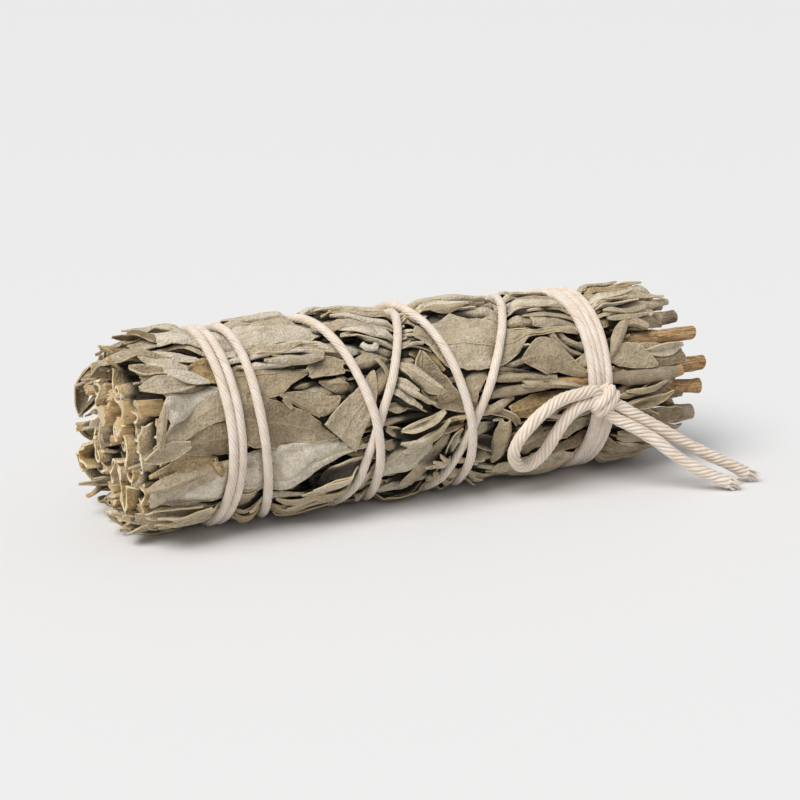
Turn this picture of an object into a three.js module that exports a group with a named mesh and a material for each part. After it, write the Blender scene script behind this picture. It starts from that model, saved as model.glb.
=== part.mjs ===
// A bundle of dried sage: woody stems and pressed leaves, held by one length of cotton string
// that is wound up and back along the bundle and tied in a bow with a single loop.
// Millimetres. The bundle lies along X on the ground (z = 0), cut stem ends at +X, leaf tips at -X.
// Around the bundle an angle of 0 degrees faces the front (-Y), and 90 degrees faces up.
import * as THREE from "three";

// Driving dimensions.
const BUNDLE_RADIUS = 17; // over the string
const BUNDLE_HALF_LENGTH = 55;
const FLATNESS = 0.935; // the underside lies this far down, as a part of the radius
const STRING_DIAMETER = 1.6; // wound tight
const FREE_STRING_DIAMETER = 2; // relaxed, in the bow
const LEAF_THICKNESS = 0.8; // a pressed leaf with its crumpled folds
const LAYER_STEP = 1.1; // one leaf and the gap to the next
const CLEARANCE = 0.3;
const STEM_RADIUS = 1.3; // at the cut end
const STEM_TAPER = 0.8; // the thin end, as a part of the cut end
const INNER_STEM_RING = 5.4;
const OUTER_STEM_RING = 9.9;
const ROLLED_LEAF_RADIUS = 2.1;
const ROLLED_LEAF_ANGLE = 300; // degrees of a full roll

// Leaf layers, by the radius of each layer's outer face, from the string inwards.
const OUTER = BUNDLE_RADIUS - STRING_DIAMETER - 2 * CLEARANCE;
const MIDDLE = OUTER - LAYER_STEP;
const INNER = MIDDLE - LAYER_STEP;
const FRAGMENT = OUTER + LAYER_STEP; // lies on the outer layer, between the turns of string
const STRING_RADIUS = STRING_DIAMETER / 2;
const GROUND_DEPTH = FLATNESS * (BUNDLE_RADIUS - STRING_RADIUS) + STRING_RADIUS;
const UNDER = GROUND_DEPTH / FLATNESS; // bulges to the ground, between the turns of string

const SAGE = [0x96927f, 0xa19d8b, 0x8a8775, 0xb0ac9c, 0x9b9379];
const BARK = [0x8d6f4c, 0x7d6a50, 0xa07a48];
const COTTON = 0xe8d9c6;

const radians = THREE.MathUtils.degToRad;
const bundle = new THREE.Group();

// Materials and naming.

function addMesh(parent, name, geometry, color, roughness) {
  const material = new THREE.MeshStandardMaterial({ color, roughness, metalness: 0 });
  const mesh = new THREE.Mesh(geometry, material);
  mesh.name = name;
  parent.add(mesh);
  return mesh;
}

// The point at a place along the bundle, an angle around it and a radius, flattened below.
function onBundle(x, degrees, radius) {
  const angle = radians(degrees);
  const height = Math.max(radius * Math.sin(angle), -FLATNESS * radius);
  return new THREE.Vector3(x, -radius * Math.cos(angle), height);
}

// Moves every vertex of a closed geometry to the place that a function gives it.
function bend(geometry, placeOf) {
  const position = geometry.getAttribute("position");
  const vertex = new THREE.Vector3();
  for (let i = 0; i < position.count; i++) {
    vertex.fromBufferAttribute(position, i);
    const place = placeOf(vertex);
    position.setXYZ(i, place.x, place.y, place.z);
  }
  geometry.computeVertexNormals();
  return geometry;
}

// Leaves.

const BLUNT_END = 0.14; // width at the tip and at the stalk, as a part of the full width
const WIDE_LEAF = 9;

// A leaf's width from its stalk (0) to its tip (1), as a part of its full width.
function leafOutline(along) {
  const bulge = Math.sin(Math.PI * along ** 0.85);
  return BLUNT_END + (1 - BLUNT_END) * Math.max(bulge, 0) ** 0.6;
}

// A leaf pressed round the bundle: its middle at x and degrees, its tip towards -X and turned
// towards the top by turn degrees. outside is the radius of its outer face.
function pressedLeaf({ x, degrees, length, width, turn = 0 }, outside) {
  const strips = width > WIDE_LEAF ? [5, 6] : [4, 4];
  const slab = new THREE.BoxGeometry(1, 1, 1, ...strips, 1);
  const cos = Math.cos(radians(turn));
  const sin = Math.sin(radians(turn));
  const arcToDegrees = THREE.MathUtils.radToDeg(1 / outside);
  return bend(slab, (vertex) => {
    const along = 0.5 - vertex.x;
    const forward = (along - 0.5) * length;
    const sideways = vertex.y * width * leafOutline(along);
    const arc = forward * sin + sideways * cos;
    const radius = outside + (vertex.z - 0.5) * LEAF_THICKNESS;
    return onBundle(x - forward * cos + sideways * sin, degrees + arc * arcToDegrees, radius);
  });
}

function addLeaves(parent, kind, leaves, outside) {
  leaves.forEach((leaf, i) => {
    const color = SAGE[(i * 2 + leaves.length) % SAGE.length];
    addMesh(parent, `${kind}_${i + 1}`, pressedLeaf(leaf, outside), color, 0.9);
  });
}

// A leaf rolled up lengthwise round nothing, open along one side.
function rolledLeaf(length) {
  const slab = new THREE.BoxGeometry(1, 1, 1, 3, 10, 1);
  return bend(slab, (vertex) => {
    const angle = radians(vertex.y * ROLLED_LEAF_ANGLE);
    const radius = ROLLED_LEAF_RADIUS + (vertex.z - 0.5) * LEAF_THICKNESS;
    return new THREE.Vector3(vertex.x * length, -radius * Math.cos(angle), radius * Math.sin(angle));
  });
}

// Stems.

// A woody stem that runs deep in the bundle and comes out towards its skin at the cut end.
// riseAt is where it starts to come out, over riseLength, from the ring to the end radius.
function stem({ degrees, ring, end, endRing = ring, riseAt = 30, riseLength = 12, start }) {
  const rod = new THREE.CylinderGeometry(1, 1, 1, 9, 8);
  return bend(rod, (vertex) => {
    const along = vertex.y + 0.5;
    const x = THREE.MathUtils.lerp(start, end, along);
    const risen = THREE.MathUtils.smoothstep(x, riseAt, riseAt + riseLength);
    const centre = onBundle(x, degrees, THREE.MathUtils.lerp(ring, endRing, risen));
    const radius = STEM_RADIUS * THREE.MathUtils.lerp(STEM_TAPER, 1, along);
    return centre.add(new THREE.Vector3(0, -vertex.x * radius, vertex.z * radius));
  });
}

// String.

function circle(radius, sides = 8) {
  const corners = Array.from({ length: sides }, (_, i) => {
    const angle = (i * 2 * Math.PI) / sides;
    return new THREE.Vector2(radius * Math.cos(angle), radius * Math.sin(angle));
  });
  return new THREE.Shape(corners);
}

function tube(points, diameter, steps) {
  const path = new THREE.CatmullRomCurve3(points);
  const settings = { steps, extrudePath: path, bevelEnabled: false };
  return new THREE.ExtrudeGeometry(circle(diameter / 2), settings);
}

// The winding, as its place along the bundle at each quarter turn. It starts at the front under
// the knot and goes down, round the back, over the top and to the front again.
const WINDING = [
  33.75, 32.4, 32.9, 33.4, 32, 30.65, 31.15, 31.65, 30.25, 28.9, 29.4, 29.9, 28.5, 27.1, 22.7, 18.2,
  5.8, -2, -2.5, -3.1, -13.1, -20.5, -29.5, -38.4, -38.5, -39.4, -38, -36.7, -36.8, -37.7, -36.2, -34.6,
  -32.8, -29.5, -24.3, -19.2, -13.4, -10.5, -5.8, -1.1, 3.9, 7.5, 17.8, 28.1, 26.8,
];
// Where the string rides over an earlier turn, in quarter turns from its start.
const OVERPASSES = [26.84, 30.65, 33.66, 36.02, 38.62, 40.13, 42.33];
const OVERPASS_LIFT = STRING_DIAMETER + 0.15;
const OVERPASS_TOP = 0.17; // half the length that is fully lifted, in quarter turns
const OVERPASS_REACH = 0.42; // where the lift has died away, in quarter turns
const STEPS_A_QUARTER = 6;

function overpassLift(quarters) {
  const nearest = Math.min(...OVERPASSES.map((at) => Math.abs(at - quarters)));
  return OVERPASS_LIFT * (1 - THREE.MathUtils.smoothstep(nearest, OVERPASS_TOP, OVERPASS_REACH));
}

function windingPoints() {
  const along = new THREE.CatmullRomCurve3(
    WINDING.map((x, quarter) => new THREE.Vector3(quarter, x, 0)),
    false,
    "catmullrom",
  );
  const quarters = WINDING.length - 1;
  const points = [];
  for (let step = 0; step <= quarters * STEPS_A_QUARTER; step++) {
    const turned = step / STEPS_A_QUARTER;
    const x = along.getPoint(turned / quarters).y;
    const radius = BUNDLE_RADIUS - STRING_RADIUS + overpassLift(turned);
    points.push(onBundle(x, -turned * 90, radius));
  }
  return points;
}

// A tube whose sections stand at its points, square to the winding.
function woundString() {
  const points = windingPoints();
  const rod = new THREE.CylinderGeometry(1, 1, 1, 8, points.length - 1);
  return bend(rod, (vertex) => {
    const step = Math.round((vertex.y + 0.5) * (points.length - 1));
    const before = points[Math.max(step - 1, 0)];
    const after = points[Math.min(step + 1, points.length - 1)];
    const forward = after.clone().sub(before).normalize();
    const sideways = new THREE.Vector3(1, 0, 0).addScaledVector(forward, -forward.x).normalize();
    const outwards = new THREE.Vector3().crossVectors(sideways, forward);
    const place = points[step].clone().addScaledVector(sideways, vertex.x * STRING_RADIUS);
    return place.addScaledVector(outwards, vertex.z * STRING_RADIUS);
  });
}

// The free stretches of the bow, as points from the knot out, from the bundle's axis.
const BOW_LOOP = [
  [27.3, -18.5, 2.65], [24.9, -18.5, 2.5], [20.7, -18.5, 1.9], [16.9, -18.6, 0], [14.3, -18.5, -2.2],
  [12.5, -18, -4.7], [12.2, -17.1, -7.3], [13.9, -15.9, -9.8], [16.1, -15.5, -10.3], [17.8, -16.3, -9],
  [19.1, -17.4, -6.6], [20.3, -18.2, -3.8], [21.7, -18.5, -1.8], [23.7, -18.6, -0.1], [25.9, -18.6, 0.5],
];
const TAIL_UPPER = [
  [32, -19.3, -0.3], [34.8, -20.1, -2.1], [39, -21.5, -4.7], [43.2, -22.8, -7.3], [47.4, -24.1, -9.8],
  [51.6, -25.4, -12], [54.4, -26.3, -13.6], [56, -26.8, -14.5],
];
const TAIL_LOWER = [
  [30.5, -19.3, -2], [34.2, -21.1, -4.2], [38, -23, -6.8], [40.8, -24.5, -9.2], [43.6, -25.9, -11.2],
  [46.4, -27.2, -12.8], [49, -28.3, -14.1], [50.8, -28.9, -14.7],
];
const KNOT_CENTRE = [29.15, -18.85, 0.85];
const KNOT_HALF_SIZE = [3.2, 1.35, 1.5]; // along its band, towards the front, across its band
const KNOT_TURN = -42; // degrees that the band rises towards the stem end

const vectors = (points) => points.map((point) => new THREE.Vector3(...point));

function addBow(parent) {
  const knot = addMesh(parent, "string_knot", new THREE.IcosahedronGeometry(1, 2), COTTON, 0.95);
  knot.scale.set(...KNOT_HALF_SIZE);
  knot.rotation.y = radians(KNOT_TURN);
  knot.position.set(...KNOT_CENTRE);
  const pieces = { bow_loop: BOW_LOOP, tail_upper: TAIL_UPPER, tail_lower: TAIL_LOWER };
  for (const [name, route] of Object.entries(pieces)) {
    const steps = (route.length - 1) * 2;
    addMesh(parent, name, tube(vectors(route), FREE_STRING_DIAMETER, steps), COTTON, 0.95);
  }
}

// The bundle's pieces, chosen by hand.

const STEMS = [
  { degrees: 98, endRing: 12.4, end: 49 },
  { degrees: 76, endRing: 13, end: 51.5 },
  { degrees: 58, endRing: 13.2, end: 52.5 },
  { degrees: 40, endRing: 13.2, end: 54 },
  { degrees: 15, ring: 13.4, end: BUNDLE_HALF_LENGTH, start: 9 },
  { degrees: -4, endRing: 12.9, end: 54.5, riseAt: 41 },
  { degrees: -30, endRing: 13.2, end: 54.5 },
  { degrees: -78, endRing: 12.2, end: 51 },
  { degrees: -130, endRing: 12.6, end: 53 },
  { degrees: 165, endRing: 12.8, end: 52 },
  { degrees: 90, ring: INNER_STEM_RING, end: 51 },
  { degrees: -90, ring: INNER_STEM_RING, end: 52.5 },
  { degrees: 0, ring: 0, end: 53.5, start: -BUNDLE_HALF_LENGTH },
];
const STEM_START = -BUNDLE_HALF_LENGTH + 1.5;

const INNER_LEAVES = [
  { x: -29, degrees: 60, length: 44, width: 16 },
  { x: -29, degrees: 180, length: 44, width: 16 },
  { x: -29, degrees: -60, length: 44, width: 16 },
];
const MIDDLE_LEAVES = [
  ...[24, 114, 204, 294].map((degrees) => ({ x: -29, degrees, length: 46, width: 16 })),
  ...[60, 142, 224, 306].map((degrees) => ({ x: 14, degrees, length: 33, width: 15 })),
];
const OUTER_LEAVES = [
  { x: 10, degrees: 56, length: 24, width: 9.6, turn: 6 }, // the broad leaf beside the knot
  { x: 1, degrees: 17, length: 17, width: 4.6, turn: 46 },
  { x: -11.5, degrees: 22, length: 12, width: 5 },
  { x: -6, degrees: -25, length: 18, width: 6 },
  { x: -28, degrees: 13, length: 16, width: 6.5 },
  { x: -29.5, degrees: 43, length: 15, width: 6 },
  { x: -26, degrees: -13, length: 22, width: 5 },
  { x: -46.3, degrees: -18, length: 14, width: 5.6 },
  { x: -45.3, degrees: 38, length: 13, width: 5.4 },
  { x: -45.5, degrees: 12, length: 14, width: 5 },
  { x: -30, degrees: 82, length: 23, width: 7.6 },
  { x: 39.5, degrees: 28, length: 9, width: 3.2 },
  { x: 38.5, degrees: -4, length: 10, width: 4.6 },
  { x: 21, degrees: -23, length: 28, width: 7 },
  { x: 12, degrees: 104, length: 40, width: 11.5, turn: 2 },
  { x: -31, degrees: 126, length: 44, width: 10 },
  { x: -29, degrees: 170, length: 46, width: 10.5, turn: -2 },
  { x: -31, degrees: -148, length: 44, width: 10 },
  { x: -30.5, degrees: -66, length: 43, width: 12, turn: 2 },
  { x: 13, degrees: 153, length: 44, width: 11.5, turn: -2 },
  { x: 14, degrees: -160, length: 42, width: 11 },
  { x: 14, degrees: -74, length: 44, width: 12 },
];
const FRAGMENTS = [
  { x: 20, degrees: 35, length: 12, width: 5, turn: 5 },
  { x: -19.2, degrees: 6, length: 8, width: 5, turn: 40 },
  { x: -23.5, degrees: 28, length: 9, width: 4.2, turn: -15 },
];
const UNDER_LEAVES = [
  { x: 18, degrees: -90, length: 12.5, width: 9 },
  { x: -15.1, degrees: -90, length: 7, width: 9 },
];
const ROLLED_LEAVES = [30, 150, -150, -30];

function addStems(parent) {
  STEMS.forEach((part, i) => {
    const shape = stem({ ring: OUTER_STEM_RING, start: STEM_START + (i % 4) * 0.8, ...part });
    addMesh(parent, `stem_${i + 1}`, shape, BARK[i % BARK.length], 0.85);
  });
}

function addRolledLeaves(parent) {
  ROLLED_LEAVES.forEach((degrees, i) => {
    const leaf = addMesh(parent, `rolled_leaf_${i + 1}`, rolledLeaf(50 - 3 * i), SAGE[i], 0.9);
    leaf.position.copy(onBundle(-27 - i, degrees, INNER_STEM_RING));
    leaf.rotation.x = radians(80 * i);
  });
}

addStems(bundle);
addRolledLeaves(bundle);
addLeaves(bundle, "inner_leaf", INNER_LEAVES, INNER);
addLeaves(bundle, "middle_leaf", MIDDLE_LEAVES, MIDDLE);
addLeaves(bundle, "outer_leaf", OUTER_LEAVES, OUTER);
addLeaves(bundle, "leaf_fragment", FRAGMENTS, FRAGMENT);
addLeaves(bundle, "under_leaf", UNDER_LEAVES, UNDER);
addMesh(bundle, "binding_string", woundString(), COTTON, 0.95);
const heldTogether = new THREE.Box3().setFromObject(bundle, true);
const knotFront = KNOT_CENTRE[1] - KNOT_HALF_SIZE[1];
addBow(bundle);

// The bundle rests on the ground, with its middle over the origin. The bow's free string isn't
// counted in its middle, but the knot is.
const front = Math.min(heldTogether.min.y, knotFront);
bundle.position.set(
  -(heldTogether.min.x + heldTogether.max.x) / 2,
  -(front + heldTogether.max.y) / 2,
  -heldTogether.min.z,
);

export default bundle;
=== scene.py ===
"""A dried sage bundle: its looks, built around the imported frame.

Inside this script lengths are millimetres, and the bundle is measured as the frame does: x along it,
an angle in degrees around it (0 faces the front, 90 faces up) and a radius from its middle line.
Meshes, cord routes and the frame are in metres.
"""

import logging
import math
from dataclasses import dataclass, field, replace
from enum import Enum
from typing import Any, Callable, Iterable, Sequence

import bpy
import numpy as np
from mathutils import Matrix, Vector


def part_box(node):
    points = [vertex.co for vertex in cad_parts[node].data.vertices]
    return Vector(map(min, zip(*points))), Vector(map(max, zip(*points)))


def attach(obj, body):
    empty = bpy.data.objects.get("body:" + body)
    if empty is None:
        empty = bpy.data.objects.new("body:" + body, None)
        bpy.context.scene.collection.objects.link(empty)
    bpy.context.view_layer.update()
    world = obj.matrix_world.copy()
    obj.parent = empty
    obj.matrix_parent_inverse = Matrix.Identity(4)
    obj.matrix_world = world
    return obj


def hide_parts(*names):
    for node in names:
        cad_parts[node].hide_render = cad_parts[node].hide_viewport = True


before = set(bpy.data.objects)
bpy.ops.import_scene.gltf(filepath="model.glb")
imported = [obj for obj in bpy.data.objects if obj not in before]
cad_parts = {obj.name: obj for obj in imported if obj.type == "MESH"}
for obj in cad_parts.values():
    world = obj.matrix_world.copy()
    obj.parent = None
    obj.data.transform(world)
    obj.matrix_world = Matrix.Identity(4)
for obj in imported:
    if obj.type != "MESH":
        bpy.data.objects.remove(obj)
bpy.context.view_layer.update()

log = logging.getLogger("sage_bunch")

MM = 0.001
ROOT = "root"
CORE_RADIUS = 10.8  # the leaf layers start here, over the sprigs
ARC_RADIUS = 15.0  # turns arc lengths on the bundle into degrees
STRING_RADIUS = 0.74
STRING_CENTRE = 16.2  # of the wound string, from the bundle's middle line
GROUND_GAP = 0.04
PITH_PART = 0.4  # the pith's radius at a stem's cut end, as a part of the stem's
PITH_SUNK = 0.08
CUT_PART = 0.88  # the radius of the cut's raised face, as a part of the stem's
CUT_RAISED = 0.06

Number = Any  # a Socket, a number, a colour's code, or a tuple for a colour or vector
Material = bpy.types.Material
Span = tuple[float, float]
Route = tuple[tuple[float, float, float], ...]

# The winding's place along the bundle at each quarter turn, from the knot round the back.
WINDING = (
    32.7, 32.6, 32.9, 33.4, 31.6, 31.1, 31.4, 31.8, 30.45, 29.6, 29.9, 30.2, 29.4, 28.1, 22.7, 18.2,
    5.8, -2, -2.5, -3.1, -13.1, -20.5, -36.4, -39.0, -38.25, -40.1, -38.3, -37.6, -36.85, -38.5,
    -36.2, -34.2, -32.85, -29.5, -24.3, -19.2, -13.4, -10.5, -5.8, -1.1, 3.9, 7.5, 17.8, 28.6, 28.4,
)  # fmt: skip

# The bow's free stretches, in metres from the bundle's middle line.
BOW_LOOP = (
    (0.0273, -0.0185, 0.00265), (0.0249, -0.0185, 0.0025), (0.0207, -0.0185, 0.0019),
    (0.0169, -0.0186, 0.0), (0.0143, -0.0185, -0.0022), (0.0125, -0.018, -0.0047),
    (0.0122, -0.0171, -0.0073), (0.0139, -0.0159, -0.0098), (0.0161, -0.0155, -0.0103),
    (0.0178, -0.0163, -0.009), (0.0191, -0.0174, -0.0066), (0.0203, -0.0182, -0.0038),
    (0.0217, -0.0185, -0.0018), (0.0237, -0.0186, -0.0001), (0.0259, -0.0186, 0.0005),
)  # fmt: skip
TAIL_UPPER = (
    (0.032, -0.0193, -0.0003), (0.0348, -0.0201, -0.0021), (0.039, -0.0215, -0.0047),
    (0.0432, -0.0228, -0.0073), (0.0474, -0.0241, -0.0098), (0.0516, -0.0254, -0.012),
    (0.0544, -0.0263, -0.0136), (0.056, -0.0268, -0.0145),
)  # fmt: skip
TAIL_LOWER = (
    (0.0305, -0.0193, -0.002), (0.0342, -0.0211, -0.0042), (0.038, -0.023, -0.0068),
    (0.0408, -0.0245, -0.0092), (0.0436, -0.0259, -0.0112), (0.0464, -0.0272, -0.0128),
    (0.049, -0.0283, -0.0141), (0.0506, -0.0289, -0.0147),
)  # fmt: skip
KNOT_CENTRE = (0.02915, -0.01885, 0.00085)
KNOT_TURN = 42.0  # degrees that the knot's band rises towards the stem end


# ---------------------------------------------------------------------------------------------
# Shader nodes


def operator(operation: str, reflected: bool = False) -> Callable[["Socket", Number], "Socket"]:
    """Makes an operator on sockets that adds a Math node.

    Args:
        operation: The node's operation.
        reflected: Whether the socket is on the operator's right.

    Returns:
        The operator.
    """

    def apply(socket: "Socket", other: Number) -> "Socket":
        """Adds the node."""
        return socket.math(operation, *((other, socket) if reflected else (socket, other)))

    return apply


class Socket:
    """One output of a shader node, with arithmetic that adds Math nodes."""

    __add__, __radd__ = operator("ADD"), operator("ADD", True)
    __sub__, __rsub__ = operator("SUBTRACT"), operator("SUBTRACT", True)
    __mul__, __rmul__ = operator("MULTIPLY"), operator("MULTIPLY", True)
    __truediv__, __rtruediv__ = operator("DIVIDE"), operator("DIVIDE", True)

    def __init__(self, tree: "ShaderTree", output: bpy.types.NodeSocket) -> None:
        """Wraps the output of a node in a tree."""
        self.tree = tree
        self.output = output

    def math(self, operation: str, first: Number, second: Number = 0.0) -> "Socket":
        """Adds a Math node."""
        return self.tree.node("ShaderNodeMath", {"operation": operation}, {0: first, 1: second})

    def __abs__(self) -> "Socket":
        """This without its sign."""
        return self.math("ABSOLUTE", self)

    def fraction(self) -> "Socket":
        """What is left of this over a whole number."""
        return self.math("FRACT", self)

    def between(self, low: float, high: float) -> "Socket":
        """0 below low and 1 above high, with a smooth step from one to the other."""
        settings = {"interpolation_type": "SMOOTHSTEP"}
        return self.tree.node("ShaderNodeMapRange", settings, {0: self, 1: low, 2: high})


class ShaderTree:
    """A material's node tree, with one method that makes any node."""

    def __init__(self, name: str) -> None:
        """Starts a material with a Principled shader.

        Args:
            name: The material's name.
        """
        self.material = bpy.data.materials.new(name)
        self.material.use_nodes = True
        self.nodes = self.material.node_tree.nodes
        self.where = self.node("ShaderNodeTexCoord", output="Object")

    def plug(self, target: bpy.types.NodeSocket, value: Number) -> None:
        """Feeds an input.

        Args:
            target: The input.
            value: A Socket to link to it, or a value or a colour's code.
        """
        if isinstance(value, Socket):
            self.material.node_tree.links.new(value.output, target)
        else:
            target.default_value = paint(value) if isinstance(value, str) else value

    def node(
        self,
        kind: str,
        settings: dict[str, Any] | None = None,
        sockets: dict[int | str, Number] | None = None,
        output: int | str = 0,
    ) -> Socket:
        """Makes a node.

        Args:
            kind: The node's type.
            settings: Its own properties.
            sockets: The value of, or the Socket linked to, each input.
            output: The output that the returned Socket wraps.

        Returns:
            The chosen output.
        """
        made = self.nodes.new(kind)
        for name, value in (settings or {}).items():
            setattr(made, name, value)
        for key, value in (sockets or {}).items():
            self.plug(made.inputs[key], value)
        return Socket(self, made.outputs[output])

    def mix(self, factor: Number, first: Number, second: Number) -> Socket:
        """Mixes two colours: the first where the factor is 0, the second where it is 1."""
        settings = {"data_type": "RGBA", "clamp_factor": True}
        return self.node("ShaderNodeMix", settings, {0: factor, 6: first, 7: second}, 2)

    def layered(self, colour: Number, *layers: tuple[Number, Number]) -> Number:
        """Lays colours over one another.

        Args:
            colour: The lowest colour.
            layers: The share that each next colour covers, and the colour.

        Returns:
            The colour that shows.
        """
        for share, over in layers:
            colour = self.mix(share, colour, over)
        return colour

    def noise(self, place: Socket, scale: float, detail: float = 2.0, rough: float = 0.5) -> Socket:
        """A cloudy noise from about 0 to 1 at a place, in waves per unit of that place."""
        sockets = {"Vector": place, "Scale": scale, "Detail": detail, "Roughness": rough}
        return self.node("ShaderNodeTexNoise", {}, sockets, "Fac")

    def attribute(self, name: str) -> tuple[Socket, Socket, Socket, Socket]:
        """Reads a mesh attribute.

        Args:
            name: The attribute's name.

        Returns:
            It as a vector, and its three numbers.
        """
        vector = self.node("ShaderNodeAttribute", {"attribute_name": name}, {}, "Vector")
        parts = self.node("ShaderNodeSeparateXYZ", {}, {0: vector}).output.node.outputs
        return (vector, *(Socket(self, parts[i]) for i in range(3)))

    def stretched(self, place: Socket, stretch: tuple[float, float, float]) -> Socket:
        """A place with each of its directions multiplied."""
        settings = {"operation": "MULTIPLY"}
        return self.node("ShaderNodeVectorMath", settings, {0: place, 1: stretch})

    def finish(
        self, colour: Number, height: Socket, roughness: Number, constants: dict[str, float]
    ) -> Material:
        """Links what varies to the shader and sets what doesn't.

        Args:
            colour: The base colour.
            height: The height of the relief, in millimetres.
            roughness: The roughness.
            constants: The shader's other sockets and their values.

        Returns:
            The material.
        """
        bump = self.node("ShaderNodeBump", {}, {"Height": height, "Distance": MM}, "Normal")
        sockets = {"Base Color": colour, "Roughness": roughness, "Normal": bump, **constants}
        for name, value in sockets.items():
            self.plug(self.nodes["Principled BSDF"].inputs[name], value)
        return self.material


def paint(code: str) -> tuple[float, float, float, float]:
    """Turns a colour's code into a colour.

    Args:
        code: Six hexadecimal digits.

    Returns:
        The colour, as linear numbers.
    """
    parts = [int(code[i : i + 2], 16) / 255 for i in (0, 2, 4)]
    linear = [p / 12.92 if p <= 0.04045 else ((p + 0.055) / 1.055) ** 2.4 for p in parts]
    return (*linear, 1.0)


# ---------------------------------------------------------------------------------------------
# Finishes


@dataclass(frozen=True)
class LeafFinish:
    """A dried sage leaf: warm grey felt, pebbled and stained, with a tan rib and pale worn edges, and
    near-black painted shade where it lies deep among the others.
    """

    name: str = "dried_leaf"
    shade: str = "7c6a50"
    sage: str = "b5a58a"
    pale: str = "e6dccb"
    olive: str = "857658"
    tan: str = "b99c68"
    tan_deep: str = "8f7340"
    rib: str = "cdb68a"
    edge: str = "dfcba3"
    # the near-black colour of the painted shade in crevices and under other leaves
    crevice_shade: str = "0f0b06"
    vein_spacing: float = 2.6
    cloud_scale: float = 170.0
    stain_scale: float = 320.0
    spot_scale: float = 650.0
    pebble_scale: float = 2500.0

    def material(self) -> Material:
        """Builds the leaf material.

        Returns:
            The material.
        """
        tree = ShaderTree(self.name)
        _, along, across, edge = tree.attribute("leaf_place")
        # the tone's third number is how much painted shade the leaf gets where it lies deep
        _, light, tan, depth = tree.attribute("leaf_tone")
        _, ribbed, veined, _ = tree.attribute("leaf_marks")
        clouds = tree.noise(tree.where, self.cloud_scale, 3.0)
        spots = tree.noise(tree.where, self.spot_scale, 3.0, 0.6)
        pebbles = tree.noise(tree.where, self.pebble_scale, 2.0, 0.55)
        stains = tree.noise(tree.stretched(tree.where, (1.0, 1.6, 1.6)), self.stain_scale)

        tone = light * 1.3 + (clouds - 0.5) * 0.8 + (spots - 0.5) * 0.7 + (pebbles - 0.5) * 0.9
        stained = tan + (clouds - 0.5) * 0.7 + (spots - 0.5) * 0.5
        yellow = tree.mix((spots + pebbles - 0.5).between(0.3, 0.75), self.tan_deep, self.tan)
        side = ((along - abs(across) * 0.8) / self.vein_spacing + (clouds - 0.5) * 0.8).fraction()
        side_vein = (1.0 - abs(side - 0.5).between(0.0, 0.07)) * veined
        rib = (1.0 - abs(across + (spots - 0.5) * 0.2).between(0.1, 0.32)) * ribbed
        worn = (edge + (spots - 0.5) * 0.6).between(0.7, 0.98)
        colour = tree.layered(
            self.shade,
            (tone.between(-0.7, 0.25), self.sage),
            (tone.between(0.0, 0.85), self.pale),
            (stains.between(0.55, 0.75) * 0.45, self.olive),
            (stained.between(0.2, 1.1) * 0.85, yellow),
            (rib * 0.6, self.rib),
            (side_vein * 0.2, self.pale),
            (worn * 0.7, self.edge),
            # painted shade: near black where the leaf lies deep among the others or under them
            (depth.between(0.0, 1.0) * 0.93, self.crevice_shade),
        )
        height = pebbles * 0.42 + spots * 0.42 + side_vein * 0.08 + rib * 0.3
        constants = {"Specular IOR Level": 0.2, "Sheen Weight": 0.08, "Sheen Roughness": 0.6}
        return tree.finish(colour, height, 0.84 + spots * 0.14, constants)


@dataclass(frozen=True)
class BarkFinish:
    """A thin woody stem: grey-brown striped bark, orange where it is bare, pale where it is cut."""

    name: str = "woody_stem"
    bark: str = "a8957c"
    bark_pale: str = "cdbea5"
    bark_deep: str = "69543e"
    bare: str = "dcb484"
    bare_deep: str = "82603a"
    cut: str = "cdb487"
    pith: str = "e0d2ae"
    blotch_scale: float = 420.0

    def material(self) -> Material:
        """Builds the bark material.

        Returns:
            The material.
        """
        tree = ShaderTree(self.name)
        place, _, _, _ = tree.attribute("stem_place")
        _, bare, cut, light = tree.attribute("stem_tone")
        fibres = tree.noise(tree.stretched(place, (0.35, 5.0, 5.0)), 1.0, 4.0, 0.6)
        fine = tree.noise(tree.stretched(place, (1.2, 16.0, 16.0)), 1.0)
        blotches = tree.noise(tree.where, self.blotch_scale, 3.0)
        grain = fibres + (fine - 0.5) * 0.5 + light * 0.3
        wood = tree.mix(grain.between(0.34, 0.6), self.bare_deep, self.bare)
        end = tree.mix(blotches.between(0.35, 0.65), self.cut, self.pith)
        colour = tree.layered(
            self.bark_deep,
            ((fibres + light).between(0.3, 0.75), self.bark),
            ((blotches * 0.5 + fine * 0.7).between(0.5, 0.85), self.bark_pale),
            ((bare + (blotches - 0.5) * 0.5).between(0.4, 0.6), wood),
            (cut.between(0.3, 0.7), end),
        )
        height = fibres * 0.4 + fine * 0.15 + blotches * 0.1
        return tree.finish(colour, height, 0.75 + fine * 0.2, {"Specular IOR Level": 0.3})


@dataclass(frozen=True)
class TwineFinish:
    """Undyed cotton twine: warm white yarns with fine fibres, and painted shade in the grooves between them.
    """

    name: str = "cotton_twine"
    pale: str = "f8eee2"
    warm: str = "eedcc8"
    # the colour of the painted shade in the grooves
    groove: str = "cfae8c"
    cloud_scale: float = 500.0

    def material(self) -> Material:
        """Builds the twine material.

        Returns:
            The material.
        """
        tree = ShaderTree(self.name)
        place, _, _, depth = tree.attribute("yarn_place")
        fibres = tree.noise(tree.stretched(place, (1.3, 13.0, 0.0)), 1.0, 3.0, 0.6)
        clouds = tree.noise(tree.where, self.cloud_scale)
        colour = tree.layered(
            self.warm,
            ((fibres + clouds - 0.5).between(0.25, 0.75), self.pale),
            # painted shade in the grooves between the yarns
            ((1.0 - depth.between(0.0, 0.75)) * 0.5, self.groove),
        )
        constants = {"Specular IOR Level": 0.2, "Sheen Weight": 0.25, "Sheen Roughness": 0.5}
        return tree.finish(colour, fibres * 0.14 + clouds * 0.05, 0.95, constants)


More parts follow.
